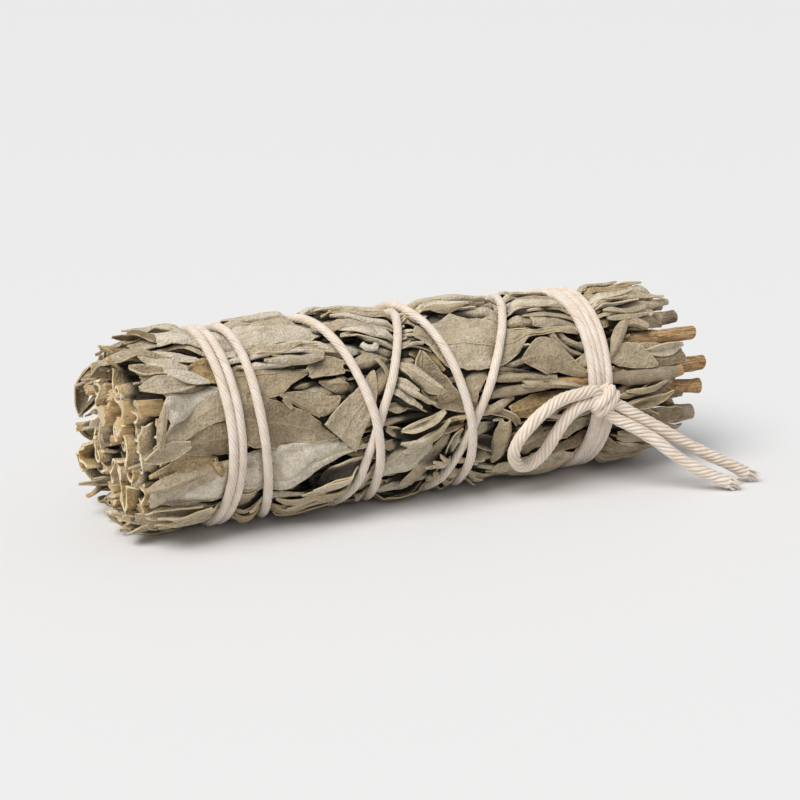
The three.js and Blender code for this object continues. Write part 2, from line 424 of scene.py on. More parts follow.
@dataclass(frozen=True)
class FloorFinish:
    """A plain pale tabletop."""

    name: str = "pale_floor"
    pale: str = "e5e5e6"
    cloud_scale: float = 900.0

    def material(self) -> Material:
        """Builds the floor material.

        Returns:
            The material.
        """
        tree = ShaderTree(self.name)
        height = tree.noise(tree.where, self.cloud_scale) * 0.01
        return tree.finish(self.pale, height, 0.6, {"Specular IOR Level": 0.2})


# ---------------------------------------------------------------------------------------------
# Numbers


def eased(part: np.ndarray) -> np.ndarray:
    """Numbers from 0 to 1, with a smooth start and end."""
    return part**2 * (3 - 2 * part)


def smooth_step(value: np.ndarray, low: float, high: float) -> np.ndarray:
    """0 below low and 1 above high, with a smooth step between."""
    return eased(np.clip((value - low) / (high - low), 0, 1))


def bell(value: np.ndarray, width: float) -> np.ndarray:
    """1 at a value of 0, falling off to both sides within a width or two."""
    return np.exp(-((value / width) ** 2))


def stacked(*parts: Any) -> np.ndarray:
    """Numbers or arrays, stretched to one shape, side by side in a last axis."""
    return np.stack(np.broadcast_arrays(*parts), -1)


def unit(vectors: np.ndarray) -> np.ndarray:
    """Vectors with their length made one."""
    return vectors / np.maximum(np.linalg.norm(vectors, axis=-1, keepdims=True), 1e-12)


def circle(sides: int) -> np.ndarray:
    """Evenly spaced angles round a circle."""
    return np.linspace(0, 2 * np.pi, sides, endpoint=False)


def travelled(points: np.ndarray) -> np.ndarray:
    """The distance along a row of points to each of them."""
    return np.concatenate([[0], np.cumsum(np.linalg.norm(np.diff(points, axis=0), axis=1))])


def resampled(rows: np.ndarray, known: np.ndarray, wanted: np.ndarray) -> np.ndarray:
    """Rows of numbers that belong to known places, at the places wanted."""
    return np.stack([np.interp(wanted, known, column) for column in rows.T], -1)


def pick(rng: np.random.Generator, options: Iterable[Any]) -> Any:
    """Any one of some options."""
    options = tuple(options)
    return options[rng.integers(len(options))]


class Noise:
    """Smooth noise on a plane, the same at each run."""

    def __init__(self, seed: int, size: int = 64) -> None:
        """Draws the lattice that the noise runs through."""
        self.size = size
        self.lattice = np.random.default_rng(seed).uniform(-1, 1, (size, size))

    def __call__(self, u: np.ndarray, v: np.ndarray) -> np.ndarray:
        """Reads the noise.

        Args:
            u: The places' first coordinates.
            v: Their second coordinates.

        Returns:
            The noise, from -1 to 1, with about one wave in two units of u and v.
        """
        u, v = np.broadcast_arrays(u, v)
        low_u, low_v = np.floor(u).astype(int), np.floor(v).astype(int)
        ease_u, ease_v = eased(u - low_u), eased(v - low_v)
        left, right = low_v % self.size, (low_v + 1) % self.size
        near, far = (
            self.lattice[row, left] * (1 - ease_v) + self.lattice[row, right] * ease_v
            for row in (low_u % self.size, (low_u + 1) % self.size)
        )
        return near * (1 - ease_u) + far * ease_u


def spline(values: np.ndarray, at: np.ndarray) -> np.ndarray:
    """A Catmull-Rom curve through evenly spaced values.

    Args:
        values: The values, one row each.
        at: The places wanted, as row numbers with fractions.

    Returns:
        The curve at those places.
    """
    values = np.asarray(values, float)
    first, last = 2 * values[0] - values[1], 2 * values[-1] - values[-2]
    padded = np.concatenate([[first], values, [last]])
    low = np.clip(np.floor(at).astype(int), 0, len(values) - 2)
    part = np.asarray(at - low, float)
    if values.ndim > 1:
        part = part[..., None]
    before, start, end, after = (padded[low + i] for i in range(4))
    bend = 2 * before - 5 * start + 4 * end - after
    twist = 3 * (start - end) + after - before
    return start + 0.5 * part * ((end - before) + part * (bend + part * twist))


def finer(grid: np.ndarray, times: int) -> np.ndarray:
    """Cuts the straight lines between a grid's rows and columns into more pieces.

    Args:
        grid: A number for each row and column.
        times: How many pieces each line is cut into.

    Returns:
        The finer grid.
    """
    for axis in (0, 1):
        count = grid.shape[axis]
        at = np.linspace(0, count - 1, times * (count - 1) + 1)
        low = np.minimum(at.astype(int), count - 2)
        part = np.expand_dims(at - low, 1 - axis)
        grid = np.take(grid, low, axis) * (1 - part) + np.take(grid, low + 1, axis) * part
    return grid


# ---------------------------------------------------------------------------------------------
# Meshes


@dataclass
class Surface:
    """Points and faces of one closed shape, with what its material reads."""

    points: np.ndarray
    faces: list[tuple[int, ...]]
    values: dict[str, np.ndarray]


def grid_faces(rows: int, columns: int, start: int = 0, turned: bool = False) -> list[tuple[int, ...]]:
    """Joins the points of a grid with four-cornered faces.

    Args:
        rows: How many rows of points it has.
        columns: How many points there are in a row.
        start: The number of the first point.
        turned: Whether the faces run the other way round.

    Returns:
        The faces.
    """
    corner = np.arange(rows - 1)[:, None] * columns + np.arange(columns - 1) + start
    square = stacked(corner, corner + columns, corner + columns + 1, corner + 1).reshape(-1, 4)
    return [tuple(face) for face in (square[:, ::-1] if turned else square).tolist()]


def tube_faces(rings: int, sides: int, turned: bool = False) -> list[tuple[int, ...]]:
    """The faces of a tube that is closed with a fan at each end.

    Args:
        rings: How many rings of points it has.
        sides: How many points there are in a ring. The middles of the two ends follow the rings.
        turned: Whether the faces run the other way round.

    Returns:
        The faces.
    """
    index = np.arange(rings * sides).reshape(rings, sides)
    after = np.roll(index, -1, axis=1)
    near, far = rings * sides, rings * sides + 1
    faces = stacked(index[:-1], index[1:], after[1:], after[:-1]).reshape(-1, 4).tolist()
    faces += stacked(near, index[0], after[0]).tolist()
    faces += stacked(far, after[-1], index[-1]).tolist()
    return [(face[0], *face[:0:-1]) if turned else tuple(face) for face in faces]


def thicken(points: np.ndarray, thickness: np.ndarray, values: dict[str, np.ndarray]) -> Surface:
    """Gives a sheet of points two faces and a rim.

    Args:
        points: Rows by columns of places.
        thickness: The thickness at each point.
        values: What the material reads, at each point.

    Returns:
        The closed shape.
    """
    rows, columns = points.shape[:2]
    normal = unit(np.cross(np.gradient(points, axis=0), np.gradient(points, axis=1)))
    offset = normal * (thickness / 2)[..., None]
    both = np.concatenate([(points + offset).reshape(-1, 3), (points - offset).reshape(-1, 3)])
    under = rows * columns
    faces = grid_faces(rows, columns) + grid_faces(rows, columns, under, True)
    index = np.arange(under).reshape(rows, columns)
    rim = np.concatenate([index[0, :-1], index[:-1, -1], index[-1, :0:-1], index[:0:-1, 0]])
    after = np.roll(rim, -1)
    faces += [tuple(face) for face in stacked(rim, after, after + under, rim + under).tolist()]
    doubled = {name: np.concatenate([v.reshape(-1, 3)] * 2) for name, v in values.items()}
    return Surface(both, faces, doubled)


def rings_round(line: np.ndarray, radius: np.ndarray, angle: np.ndarray, slope: np.ndarray) -> np.ndarray:
    """Rings of points across x round a line, each point moved along x by a slope."""
    x, y, z = (line[:, i : i + 1] for i in range(3))
    return stacked(x + slope, y + radius * np.cos(angle), z + radius * np.sin(angle))


def closed_stem(shell: np.ndarray, middle: np.ndarray, bare: Span, light: float, seed: int) -> Surface:
    """Closes the rings round a stem with two cut ends, each a disc with a pith.

    Args:
        shell: The rings of points, in millimetres.
        middle: The stem's middle line, in millimetres.
        bare: The lowest and highest x of the stretch that has lost its bark.
        light: How much lighter or darker it is than most.
        seed: A number that no other stem has.

    Returns:
        The closed shape.
    """

    def inner(row: int, part: float, out: float) -> np.ndarray:
        """A smaller ring on a cut end."""
        return middle[row] + (shell[row] - middle[row]) * part + np.array([out, 0, 0])

    first = [inner(0, PITH_PART, PITH_SUNK), inner(0, CUT_PART, -CUT_RAISED)]
    last = [inner(-1, CUT_PART, CUT_RAISED), inner(-1, PITH_PART, -PITH_SUNK)]
    rings = [*first, *shell, *last]
    points = np.concatenate([*rings, middle[:1], middle[-1:]])
    x = points[:, 0]
    start, end = bare
    stripped = smooth_step(x, start - 1, start + 1) * (1 - smooth_step(x, end - 0.5, end + 0.5))
    sides = shell.shape[1]
    cut = np.zeros(len(points))
    cut[: 2 * sides] = cut[-2 * sides - 2 :] = 1
    values = {
        "stem_place": points + np.array([seed * 37, 0, 0]),
        "stem_tone": stacked(stripped, cut, light),
    }
    return Surface(points * MM, tube_faces(len(rings), sides), values)


def add_object(name: str, data: bpy.types.ID) -> bpy.types.Object:
    """Puts a new object into the scene.

    Args:
        name: The object's name.
        data: Its mesh, light or camera.

    Returns:
        The object.
    """
    made = bpy.data.objects.new(name, data)
    bpy.context.scene.collection.objects.link(made)
    return made


def make_piece(
    name: str, surfaces: Sequence[Surface], material: Material, nodes: Iterable[str] = ()
) -> bpy.types.Object:
    """Makes one piece of the model.

    Args:
        name: The piece's name.
        surfaces: The closed shapes that it is made of, in metres.
        material: Its finish.
        nodes: The frame's nodes that it stands for.

    Returns:
        The piece.
    """
    starts = np.cumsum([0] + [len(s.points) for s in surfaces]).tolist()
    points = np.concatenate([s.points for s in surfaces])
    faces = [tuple(i + start for i in face) for s, start in zip(surfaces, starts) for face in s.faces]
    mesh = bpy.data.meshes.new(name)
    mesh.from_pydata(points.tolist(), [], faces)
    for key in surfaces[0].values:
        data = np.concatenate([s.values[key] for s in surfaces]).astype(np.float32)
        mesh.attributes.new(key, "FLOAT_VECTOR", "POINT").data.foreach_set("vector", data.ravel())
    mesh.shade_smooth()
    mesh.set_sharp_from_angle(angle=math.radians(50))
    mesh.materials.append(material)
    piece = add_object(name, mesh)
    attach(piece, ROOT)
    if nodes:
        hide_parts(*nodes)
    log.info("%s: %d faces", name, len(faces))
    return piece


# ---------------------------------------------------------------------------------------------
# The bundle's form


@dataclass(frozen=True)
class Form:
    """The bundle's round form, about a line along X and flattened on the ground."""

    middle_y: float
    middle_z: float
    flatness: float = 0.935
    ease: float = 0.012

    @classmethod
    def from_frame(cls) -> "Form":
        """Reads the middle line from the stem that runs along it."""
        low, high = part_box("stem_13")
        return cls((low.y + high.y) / 2 / MM, (low.z + high.z) / 2 / MM)

    def place(self, x: np.ndarray, degrees: np.ndarray, radius: np.ndarray) -> np.ndarray:
        """Turns places on the bundle into points.

        Args:
            x: How far along the bundle they are.
            degrees: How far around it.
            radius: How far from its middle line, before it is flattened on the ground.

        Returns:
            The points, in metres.
        """
        angle = np.radians(degrees)
        up = np.sin(angle)
        raised = (up - self.flatness) / 2 + np.sqrt(((up + self.flatness) / 2) ** 2 + self.ease**2)
        y = self.middle_y - radius * np.cos(angle)
        z = np.maximum(self.middle_z + radius * raised, GROUND_GAP)
        return stacked(x, y, z) * MM

    def measure(self, points: np.ndarray) -> tuple[np.ndarray, np.ndarray, np.ndarray]:
        """Measures points on the bundle, with the flattening left in.

        Args:
            points: The points, in metres.

        Returns:
            Their x, degrees and radius.
        """
        x, y, z = np.moveaxis(points / MM, -1, 0)
        degrees = np.degrees(np.arctan2(z - self.middle_z, self.middle_y - y))
        return x, degrees, np.hypot(y - self.middle_y, z - self.middle_z)

    def offset(self, route: Sequence[Sequence[float]]) -> np.ndarray:
        """A route measured from the middle line, as points in metres."""
        return np.array(route) + np.array([0, self.middle_y, self.middle_z]) * MM


@dataclass(frozen=True)
class Winding:
    """The wound string's route round the bundle."""

    places: tuple[float, ...] = WINDING
    lift: float = 0.62  # where it rides over an earlier turn
    dip: float = 0.8  # where a later turn rides over it
    top: float = 0.1  # quarter turns from a crossing that it stays up or down
    reach: float = 0.4  # and those from which it is back in its place
    knot_reach: float = 0.3  # quarter turns from the knot within which the turns are drawn together
    knot_lift: float = 0.4
    knotted_from: float = 25.0  # the x from which turns pass under the knot

    @property
    def quarters(self) -> int:
        """How many quarter turns the winding has."""
        return len(self.places) - 1

    def crossings(self) -> list[Span]:
        """Finds where the string rides over an earlier turn.

        Returns:
            The quarter turns laid at each such place, and those beneath.
        """
        found = []
        for turns in range(4, self.quarters, 4):
            over = np.linspace(turns, self.quarters, (self.quarters - turns) * 50)
            apart = spline(self.places, over) - spline(self.places, over - turns)
            change = np.nonzero(np.diff(np.sign(apart)))[0]
            found += [(float(over[i]), float(over[i]) - turns) for i in change]
        return found

    def route(self, turned: np.ndarray) -> tuple[np.ndarray, np.ndarray, np.ndarray]:
        """Follows the string round the bundle.

        Args:
            turned: Numbers of quarter turns from its start.

        Returns:
            The x, degrees and radius of the string's middle there.
        """
        x = spline(self.places, turned)
        raised, lowered = np.zeros_like(x), np.zeros_like(x)
        for over, under in self.crossings():
            raised = np.maximum(raised, 1 - smooth_step(np.abs(turned - over), self.top, self.reach))
            lowered = np.maximum(lowered, 1 - smooth_step(np.abs(turned - under), self.top, self.reach))
        turn = np.rint(turned / 4)
        drawn = bell(turned - 4 * turn, self.knot_reach) * (x > self.knotted_from) * (turn % 2)
        radius = STRING_CENTRE + self.lift * raised - self.dip * lowered + self.knot_lift * drawn
        return x, -90.0 * turned, radius


def settled(radius: np.ndarray, target: np.ndarray, free: np.ndarray, room: float = 0.75) -> np.ndarray:
    """Presses what stands too far over a target radius down towards it.

    Args:
        radius: The radius of each point.
        target: The radius wanted there.
        free: How far over the target nothing is pressed yet.
        room: How much further out anything can come.

    Returns:
        The radius that each point keeps.
    """
    over = radius - target - free
    return np.where(over > 0, target + free + room * (1 - np.exp(-np.maximum(over, 0) / room)), radius)


@dataclass
class Pack:
    """The bundle as it fills up: how far out what is already laid reaches, all round it."""

    FAR = 99.0  # further than anything of the bundle
    GIVE = 0.35  # how far over a target radius nothing is pressed
    TIP_GIVE = 1.1  # and how much further where the tips splay
    LEAST_LAID = 0.3  # how far over a base something lies that counts as laid there
    LEAST_HEIGHT = 0.8
    SHARES = (0.25, 1.3)  # what is kept where it is squeezed most, and where it springs back most

    winding: Winding
    cell: float = 0.4
    low_x: float = -60.0
    high_x: float = 60.0
    columns: int = 236
    top: np.ndarray = field(init=False)
    x: np.ndarray = field(init=False)
    degrees: np.ndarray = field(init=False)

    def __post_init__(self) -> None:
        """Starts with bare sprigs."""
        rows = int((self.high_x - self.low_x) / self.cell) + 1
        self.top = np.full((rows, self.columns), CORE_RADIUS)
        self.x = (self.low_x + np.arange(rows) * self.cell)[:, None]
        self.degrees = (np.arange(self.columns) / self.columns * 360)[None, :]

    def read(self, grid: np.ndarray, x: np.ndarray, degrees: np.ndarray) -> np.ndarray:
        """Reads a grid that covers the bundle.

        Args:
            grid: A number for each of its cells.
            x: How far along the bundle the places are.
            degrees: How far around it.

        Returns:
            The grid's value at each place.
        """
        row = np.clip((x - self.low_x) / self.cell, 0, grid.shape[0] - 1.001)
        column = (degrees % 360) / 360 * self.columns
        low_row, low_column = row.astype(int), column.astype(int) % self.columns
        next_column = (low_column + 1) % self.columns
        part_row, part_column = row - low_row, column - column.astype(int)
        near, far = (
            grid[i, low_column] * (1 - part_column) + grid[i, next_column] * part_column
            for i in (low_row, low_row + 1)
        )
        return near * (1 - part_row) + far * part_row

    def lay(self, x: np.ndarray, degrees: np.ndarray, radius: np.ndarray) -> None:
        """Adds the outer face of something to what has been laid.

        Args:
            x: How far along the bundle its points are.
            degrees: How far around it.
            radius: How far out.
        """
        row = np.clip(np.rint((x - self.low_x) / self.cell).astype(int), 0, self.top.shape[0] - 1)
        column = np.rint((degrees % 360) / 360 * self.columns).astype(int) % self.columns
        np.maximum.at(self.top, (row, column), radius)

    def blurred(self, grid: np.ndarray, sigma: float) -> np.ndarray:
        """Blurs a grid along and around the bundle.

        Args:
            grid: A number for each of its cells.
            sigma: How far it is blurred, in cells.

        Returns:
            The blurred grid.
        """
        reach = int(3 * sigma)
        weights = np.exp(-0.5 * (np.arange(-reach, reach + 1) / sigma) ** 2)
        weights /= weights.sum()
        rows = np.pad(grid, ((reach, reach), (0, 0)), "edge")
        grid = sum(w * rows[i : i + grid.shape[0]] for i, w in enumerate(weights))
        return sum(w * np.roll(grid, i - reach, axis=1) for i, w in enumerate(weights))

    def squeeze(self, base: float, target: np.ndarray, sigma: float) -> np.ndarray:
        """Squeezes what lies over a base radius, for its top to come to a target.

        Args:
            base: The radius below which nothing moves.
            target: The radius wanted, all round the bundle.
            sigma: The size, in cells, of the humps that are pressed flat.

        Returns:
            The share of its height over the base that everything keeps.
        """
        laid = (self.top > base + self.LEAST_LAID).astype(float)
        covered = np.maximum(self.blurred(laid, sigma), 1e-3)
        height = np.maximum(self.blurred((self.top - base) * laid, sigma) / covered, self.LEAST_HEIGHT)
        share = np.clip((target - base) / height, *self.SHARES)
        self.top = np.where(self.top > base, base + (self.top - base) * share, self.top)
        self.top = settled(self.top, target, self.free())
        return share

    def free(self) -> np.ndarray:
        """How far over the target radius nothing is pressed: most where the tips splay."""
        return self.GIVE + self.TIP_GIVE * smooth_step(-self.x, 43.5, 48) + 0 * self.top

    def raise_end(self, noise: Noise, radius: float, low: float, high: float) -> None:
        """Fills one end of the bundle up to a radius, where the cut sprigs stand.

        Args:
            noise: Where it takes its unevenness from.
            radius: The radius.
            low: The end's lowest x.
            high: Its highest x.
        """
        inside = (self.x > low) & (self.x < high)
        filled = radius + 0.5 * noise(self.x / 3, self.degrees / 15)
        self.top = np.where(inside, np.maximum(self.top, filled), self.top)

    def string_field(self) -> tuple[np.ndarray, np.ndarray]:
        """Follows the string over the whole bundle.

        Returns:
            How near the string is, from 0 to 1, and the radius that its underside leaves free.
        """
        limit = np.full(self.top.shape, self.FAR)
        near = np.zeros(self.top.shape)
        last = self.winding.quarters
        for turn in range(last // 4 + 1):
            turned = (-self.degrees / 90) % 4 + 4 * turn
            string_x, _, string_radius = self.winding.route(np.minimum(turned, last))
            away = np.where(turned <= last, np.abs(self.x - string_x), self.FAR)
            hollow = string_radius - STRING_RADIUS * 0.9 + np.minimum(away / 1.25, 9) ** 2 * 0.5
            limit = np.minimum(limit, hollow)
            near = np.maximum(near, bell(away, 1.7))
        return near, limit


# ---------------------------------------------------------------------------------------------
# Leaves


class Fold(Enum):
    """How a leaf dried across: degrees that it turns from edge to edge, and the share in its rib.

    It is rounded outwards where the turn is negative, and hollow where it is positive.
    """

    FLAT = (-14.0, 0.5)
    CURVED = (-50.0, 0.3)
    ROLLED = (-170.0, 0.1)
    TUBE = (-320.0, 0.0)
    CREASED = (-95.0, 0.9)
    HOLLOW = (70.0, 0.3)
    GUTTER = (105.0, 0.85)


class Ends(Enum):
    """Which ends of a leaf are torn or cut off straight: its start and its end."""

    WHOLE = (False, False)
    START = (True, False)
    END = (False, True)
    BOTH = (True, True)


def section(side: np.ndarray, roll: float, crease: float, lean: np.ndarray) -> tuple[np.ndarray, np.ndarray]:
    """The cross-section of a folded leaf, two half widths across as it is seen from outside.

    Args:
        side: Places across it, from -1 to 1.
        roll: Degrees that it turns from edge to edge.
        crease: The share of the roll that is one crease along its rib.
        lean: Degrees that it lies on one side, at each place along it.

    Returns:
        How far across and how high it is, one row for each lean.
    """
    turned = (1 - crease) * side + crease * np.tanh(side / 0.12)
    angle = np.radians(roll) / 2 * turned + np.radians(lean)[:, None]
    middle = (angle[:, 1:] + angle[:, :-1]) / 2
    across, height = (
        np.pad(np.cumsum(part * np.diff(side), axis=1), ((0, 0), (1, 0)))
        for part in (np.cos(middle), np.sin(middle))
    )
    width = np.ptp(across, axis=1)[:, None]
    across = across - (across.max(axis=1) + across.min(axis=1))[:, None] / 2
    return across * 2 / width, (height - height.min(axis=1)[:, None]) * 2 / width


@dataclass
class Blade:
    """A leaf, a torn piece of one or a stalk, laid along the bundle."""

    ROW_SPACING = 0.62  # of its mesh, along it
    COLUMN_SPACING = 0.48  # and across it
    CLEARANCE = 0.18  # from what is beneath it to its middle
    TEAR = 0.45  # how far a torn end reaches out, as a part of half its width
    EDGE_BAND = 0.6  # how far in its pale worn edge reaches
    WHOLE_MARGIN = 0.25  # how much of that band an end that isn't torn goes without
    UNROLLED = 200  # degrees of roll that hide half its width
    STIFF_ROLL = 110  # degrees of roll from which it doesn't drape across
    STIFF_REST = 0.6  # the share of a stiff leaf's row that clears what is beneath it
    BRIDGED = 0.9  # the share of any leaf that does, while the rest is pressed in
    SAG = 0.006
    SETTLING_STEPS = 90

    route: Route  # its middle line as (x, degrees, width seen)
    fold: Fold = Fold.FLAT
    lean: float = 0.0  # degrees that it lies on one side
    light: float = 0.0
    tan: float = 0.0
    rib: float = 0.3  # how clearly its rib shows
    rib_side: float = 0.0  # where its rib runs, from -1 to 1 across
    veins: float = 0.3  # how clearly its side veins show
    ends: Ends = Ends.WHOLE
    lift: Span = (0.0, 0.0)  # millimetres that its start and its end stand off
    curl: float = 0.45  # millimetres that its edges wave
    flare: float = 0.15  # millimetres that its edges stand off
    crumple: float = 0.16
    thickness: float = 0.36
    ragged: float = 0.08  # how unevenly its width changes
    straight: bool = False  # whether its edges run straight from one place to the next
    fine: float = 1.0  # how closely its mesh is spaced
    node: str = ""

    def rows(self) -> tuple[np.ndarray, np.ndarray, np.ndarray]:
        """Spaces the mesh's rows along the leaf.

        Returns:
            Its middle line as distances along and around the bundle, its widths, and how far each row is
            from its start.
        """
        points = np.array(self.route, float)
        points[:, 1] = np.radians(points[:, 1]) * ARC_RADIUS
        many = np.linspace(0, len(points) - 1, 12 * len(points))
        line = spline(points, many)
        if self.straight:
            line[:, 2] = np.interp(many, np.arange(len(points)), points[:, 2])
        length = travelled(line[:, :2])
        part = np.linspace(0, 1, int(np.clip(length[-1] / self.ROW_SPACING * self.fine, 8, 64)))
        along = (0.75 * part + 0.25 * (1 - np.cos(np.pi * part)) / 2) * length[-1]
        line = resampled(line, length, along)
        return line[:, :2], np.maximum(line[:, 2], 0.25), along

    def laid(self, pack: Pack, noise: Noise, seed: float) -> "LaidBlade":
        """Lays the leaf on the bundle as it is, and adds it to the bundle.

        Args:
            pack: The bundle.
            noise: Where the leaf takes its creases from.
            seed: A number that no other leaf has.

        Returns:
            The leaf in its place.
        """
        line, width, along = self.rows()
        roll, crease = self.fold.value
        columns = np.clip(width.max() * (1 + abs(roll) / 260) / self.COLUMN_SPACING * self.fine, 7, 25)
        side = np.linspace(-1, 1, int(columns) | 1)
        side = 0.65 * side + 0.35 * np.sin(side * np.pi / 2)
        lean = self.lean + (8 + abs(roll) / 7) * noise(along / 8 + seed, seed)
        across, height = section(side, roll, crease, lean)
        half, row, left = (width / 2)[:, None], along[:, None], along[-1] - along[:, None]

        hem = np.sign(side) * 2 + seed
        uneven = noise(row / 2.8 + seed, hem) + 0.6 * noise(row / 0.9 - seed, hem)
        sideways = across * half * (1 + self.ragged * uneven * np.abs(side))
        forward = unit(np.gradient(line, axis=0))
        leftward = stacked(-forward[:, 1], forward[:, 0])
        shift = self._torn(row, left, side, noise, seed) * half
        place = line[:, None] + forward[:, None] * shift[..., None] + leftward[:, None] * sideways[..., None]
        x, degrees = place[..., 0], np.degrees(place[..., 1] / ARC_RADIUS)

        lift = height * half + self._waves(row, side, sideways, noise, seed)
        needed = pack.read(pack.top, x, degrees) + self.CLEARANCE - lift
        radius = self._rest(needed, 1 - min(abs(roll) / self.STIFF_ROLL, 1)) + lift
        start, end = self.lift
        part = row / along[-1]
        radius = radius + start * (1 - smooth_step(part, 0, 0.5)) + end * smooth_step(part, 0.5, 1)
        pack.lay(*(finer(grid, 3) for grid in (x, degrees, radius + self.thickness / 2)))

        across_flat = half * (1 + abs(roll) / self.UNROLLED)
        starts, ends = self.ends.value
        from_edge = np.minimum(row + self.WHOLE_MARGIN * (not starts), left + self.WHOLE_MARGIN * (not ends))
        from_edge = np.minimum(from_edge, (1 - np.abs(side)) * across_flat)
        edge = np.clip(1 - from_edge / self.EDGE_BAND, 0, 1)
        coordinates = stacked(row + 31 * (seed % 7), (side - self.rib_side) * across_flat, edge)
        return LaidBlade(self, x, degrees, radius, coordinates)

    def _torn(
        self, row: np.ndarray, left: np.ndarray, side: np.ndarray, noise: Noise, seed: float
    ) -> np.ndarray:
        """Tears the leaf's torn ends.

        Args:
            row: How far from its start each row of points is.
            left: How far from its end.
            side: Places across it, from -1 to 1.
            noise: Where it takes its tears from.
            seed: A number that no other leaf has.

        Returns:
            How far forward of their rows the points lie, as a part of half its width.
        """
        jagged = noise(side * 2.3 + seed, 7 + seed) + 0.35 * noise(side * 9 + seed, 2 - seed)
        starts, ends = self.ends.value
        return (ends * bell(left, 2) - starts * bell(row, 2)) * jagged * self.TEAR

    def _waves(
        self, row: np.ndarray, side: np.ndarray, sideways: np.ndarray, noise: Noise, seed: float
    ) -> np.ndarray:
        """Curls the leaf's edges, and creases and wrinkles it.

        Args:
            row: How far from its start each row of points is.
            side: Places across it, from -1 to 1.
            sideways: How far to one side of its middle line each point is.
            noise: Where it takes its waves from.
            seed: A number that no other leaf has.

        Returns:
            How much higher the points lie for it.
        """
        edge = smooth_step(np.abs(side), 0.35, 1.0) ** 1.5
        hem = np.sign(side)
        size = np.minimum(1.0, 0.35 + np.abs(sideways).max(axis=1, keepdims=True) / 4)
        hems = noise(row / 2.6 + seed, hem + seed) + 1.1 * noise(row / 6 - seed, hem - seed)
        bends = 0.7 * noise(row / 7.5 - seed, sideways / 5 + seed)
        dents = noise(row / 2.4 + seed, sideways / 1.5 + seed)
        wrinkles = 0.5 * noise(row / 1.6 + seed, sideways / 0.5 - seed)
        creases = 1.6 * (1 - np.abs(noise(row / 6 + seed, sideways / 1.3 - seed))) ** 6
        waves = self.flare * edge + self.curl * (edge * hems + bends)
        return (waves + self.crumple * (dents + wrinkles - creases)) * size

    @classmethod
    def _rest(cls, needed: np.ndarray, flatness: float) -> np.ndarray:
        """Where a leaf comes to rest on what is beneath it.

        Args:
            needed: How far out it has to be at each point to clear what is beneath.
            flatness: 1 for a flat leaf that drapes, 0 for a rolled one that is stiff across.

        Returns:
            How far out it is.
        """
        stiff = np.quantile(needed, cls.STIFF_REST, axis=1, keepdims=True)
        needed = flatness * needed + (1 - flatness) * stiff
        needed = np.minimum(needed, np.quantile(needed, cls.BRIDGED))
        rest = needed.copy()
        for _ in range(cls.SETTLING_STEPS):
            padded = np.pad(rest, 1, "edge")
            mean = (padded[:-2, 1:-1] + padded[2:, 1:-1] + padded[1:-1, :-2] + padded[1:-1, 2:]) / 4
            rest = np.maximum(needed, mean - cls.SAG)
        return rest


@dataclass
class LaidBlade:
    """A leaf in its place on the bundle."""

    blade: Blade
    x: np.ndarray
    degrees: np.ndarray
    radius: np.ndarray
    place: np.ndarray

    def squeeze(self, pack: Pack, base: float, share: np.ndarray, target: np.ndarray) -> None:
        """Squeezes the leaf with the rest of the bundle.

        Args:
            pack: The bundle.
            base: The radius below which nothing moves.
            share: The share of its height over the base that everything keeps.
            target: The radius wanted, all round the bundle.
        """
        kept, wanted, free = (pack.read(grid, self.x, self.degrees) for grid in (share, target, pack.free()))
        self.radius = np.where(self.radius > base, base + (self.radius - base) * kept, self.radius)
        self.radius = settled(self.radius, wanted, free)

    def pinch(self, pack: Pack, limit: np.ndarray) -> None:
        """Presses the leaf under the string."""
        free = pack.read(limit, self.x, self.degrees)
        self.radius = np.where(self.radius > free, free + (self.radius - free) * 0.05, self.radius)

    def surface(self, form: Form, pack: Pack, outside: np.ndarray) -> Surface:
        """Makes the leaf a closed shape, with painted shade where it lies deeper under the leaves round it.

        Args:
            form: The bundle's form.
            pack: The bundle when all is laid.
            outside: How far out the leaves round each place are.

        Returns:
            The closed shape.
        """
        points = form.place(self.x, self.degrees, self.radius)
        points[..., 2] = np.maximum(points[..., 2], (GROUND_GAP + 0.2) * MM)
        blade = self.blade
        thickness = blade.thickness * MM * (1 - 0.35 * self.place[..., 2])
        # Painted shade: a narrow leaf darkens where it lies deep below the leaves round it, a wide one where
        # others cover it, less so near the ends.
        below, covered = (pack.read(grid, self.x, self.degrees) - self.radius for grid in (outside, pack.top))
        inside = smooth_step(self.x, -44, -38) * (1 - smooth_step(self.x, 38, 44))
        narrow = 1 - smooth_step(max(width for _, _, width in blade.route), 2.6, 4.6)
        crevice_shade, covered_shade = smooth_step(below, 0.55, 1.15), smooth_step(covered, 0.6, 1.5)
        depth = np.maximum(crevice_shade * narrow, covered_shade * (1 - narrow)) * (0.25 + 0.75 * inside)
        values = {
            "leaf_place": self.place,
            "leaf_tone": stacked(blade.light, blade.tan, depth),
            "leaf_marks": stacked(blade.rib, blade.veins, 0 * depth),
        }
        return thicken(points, thickness, values)


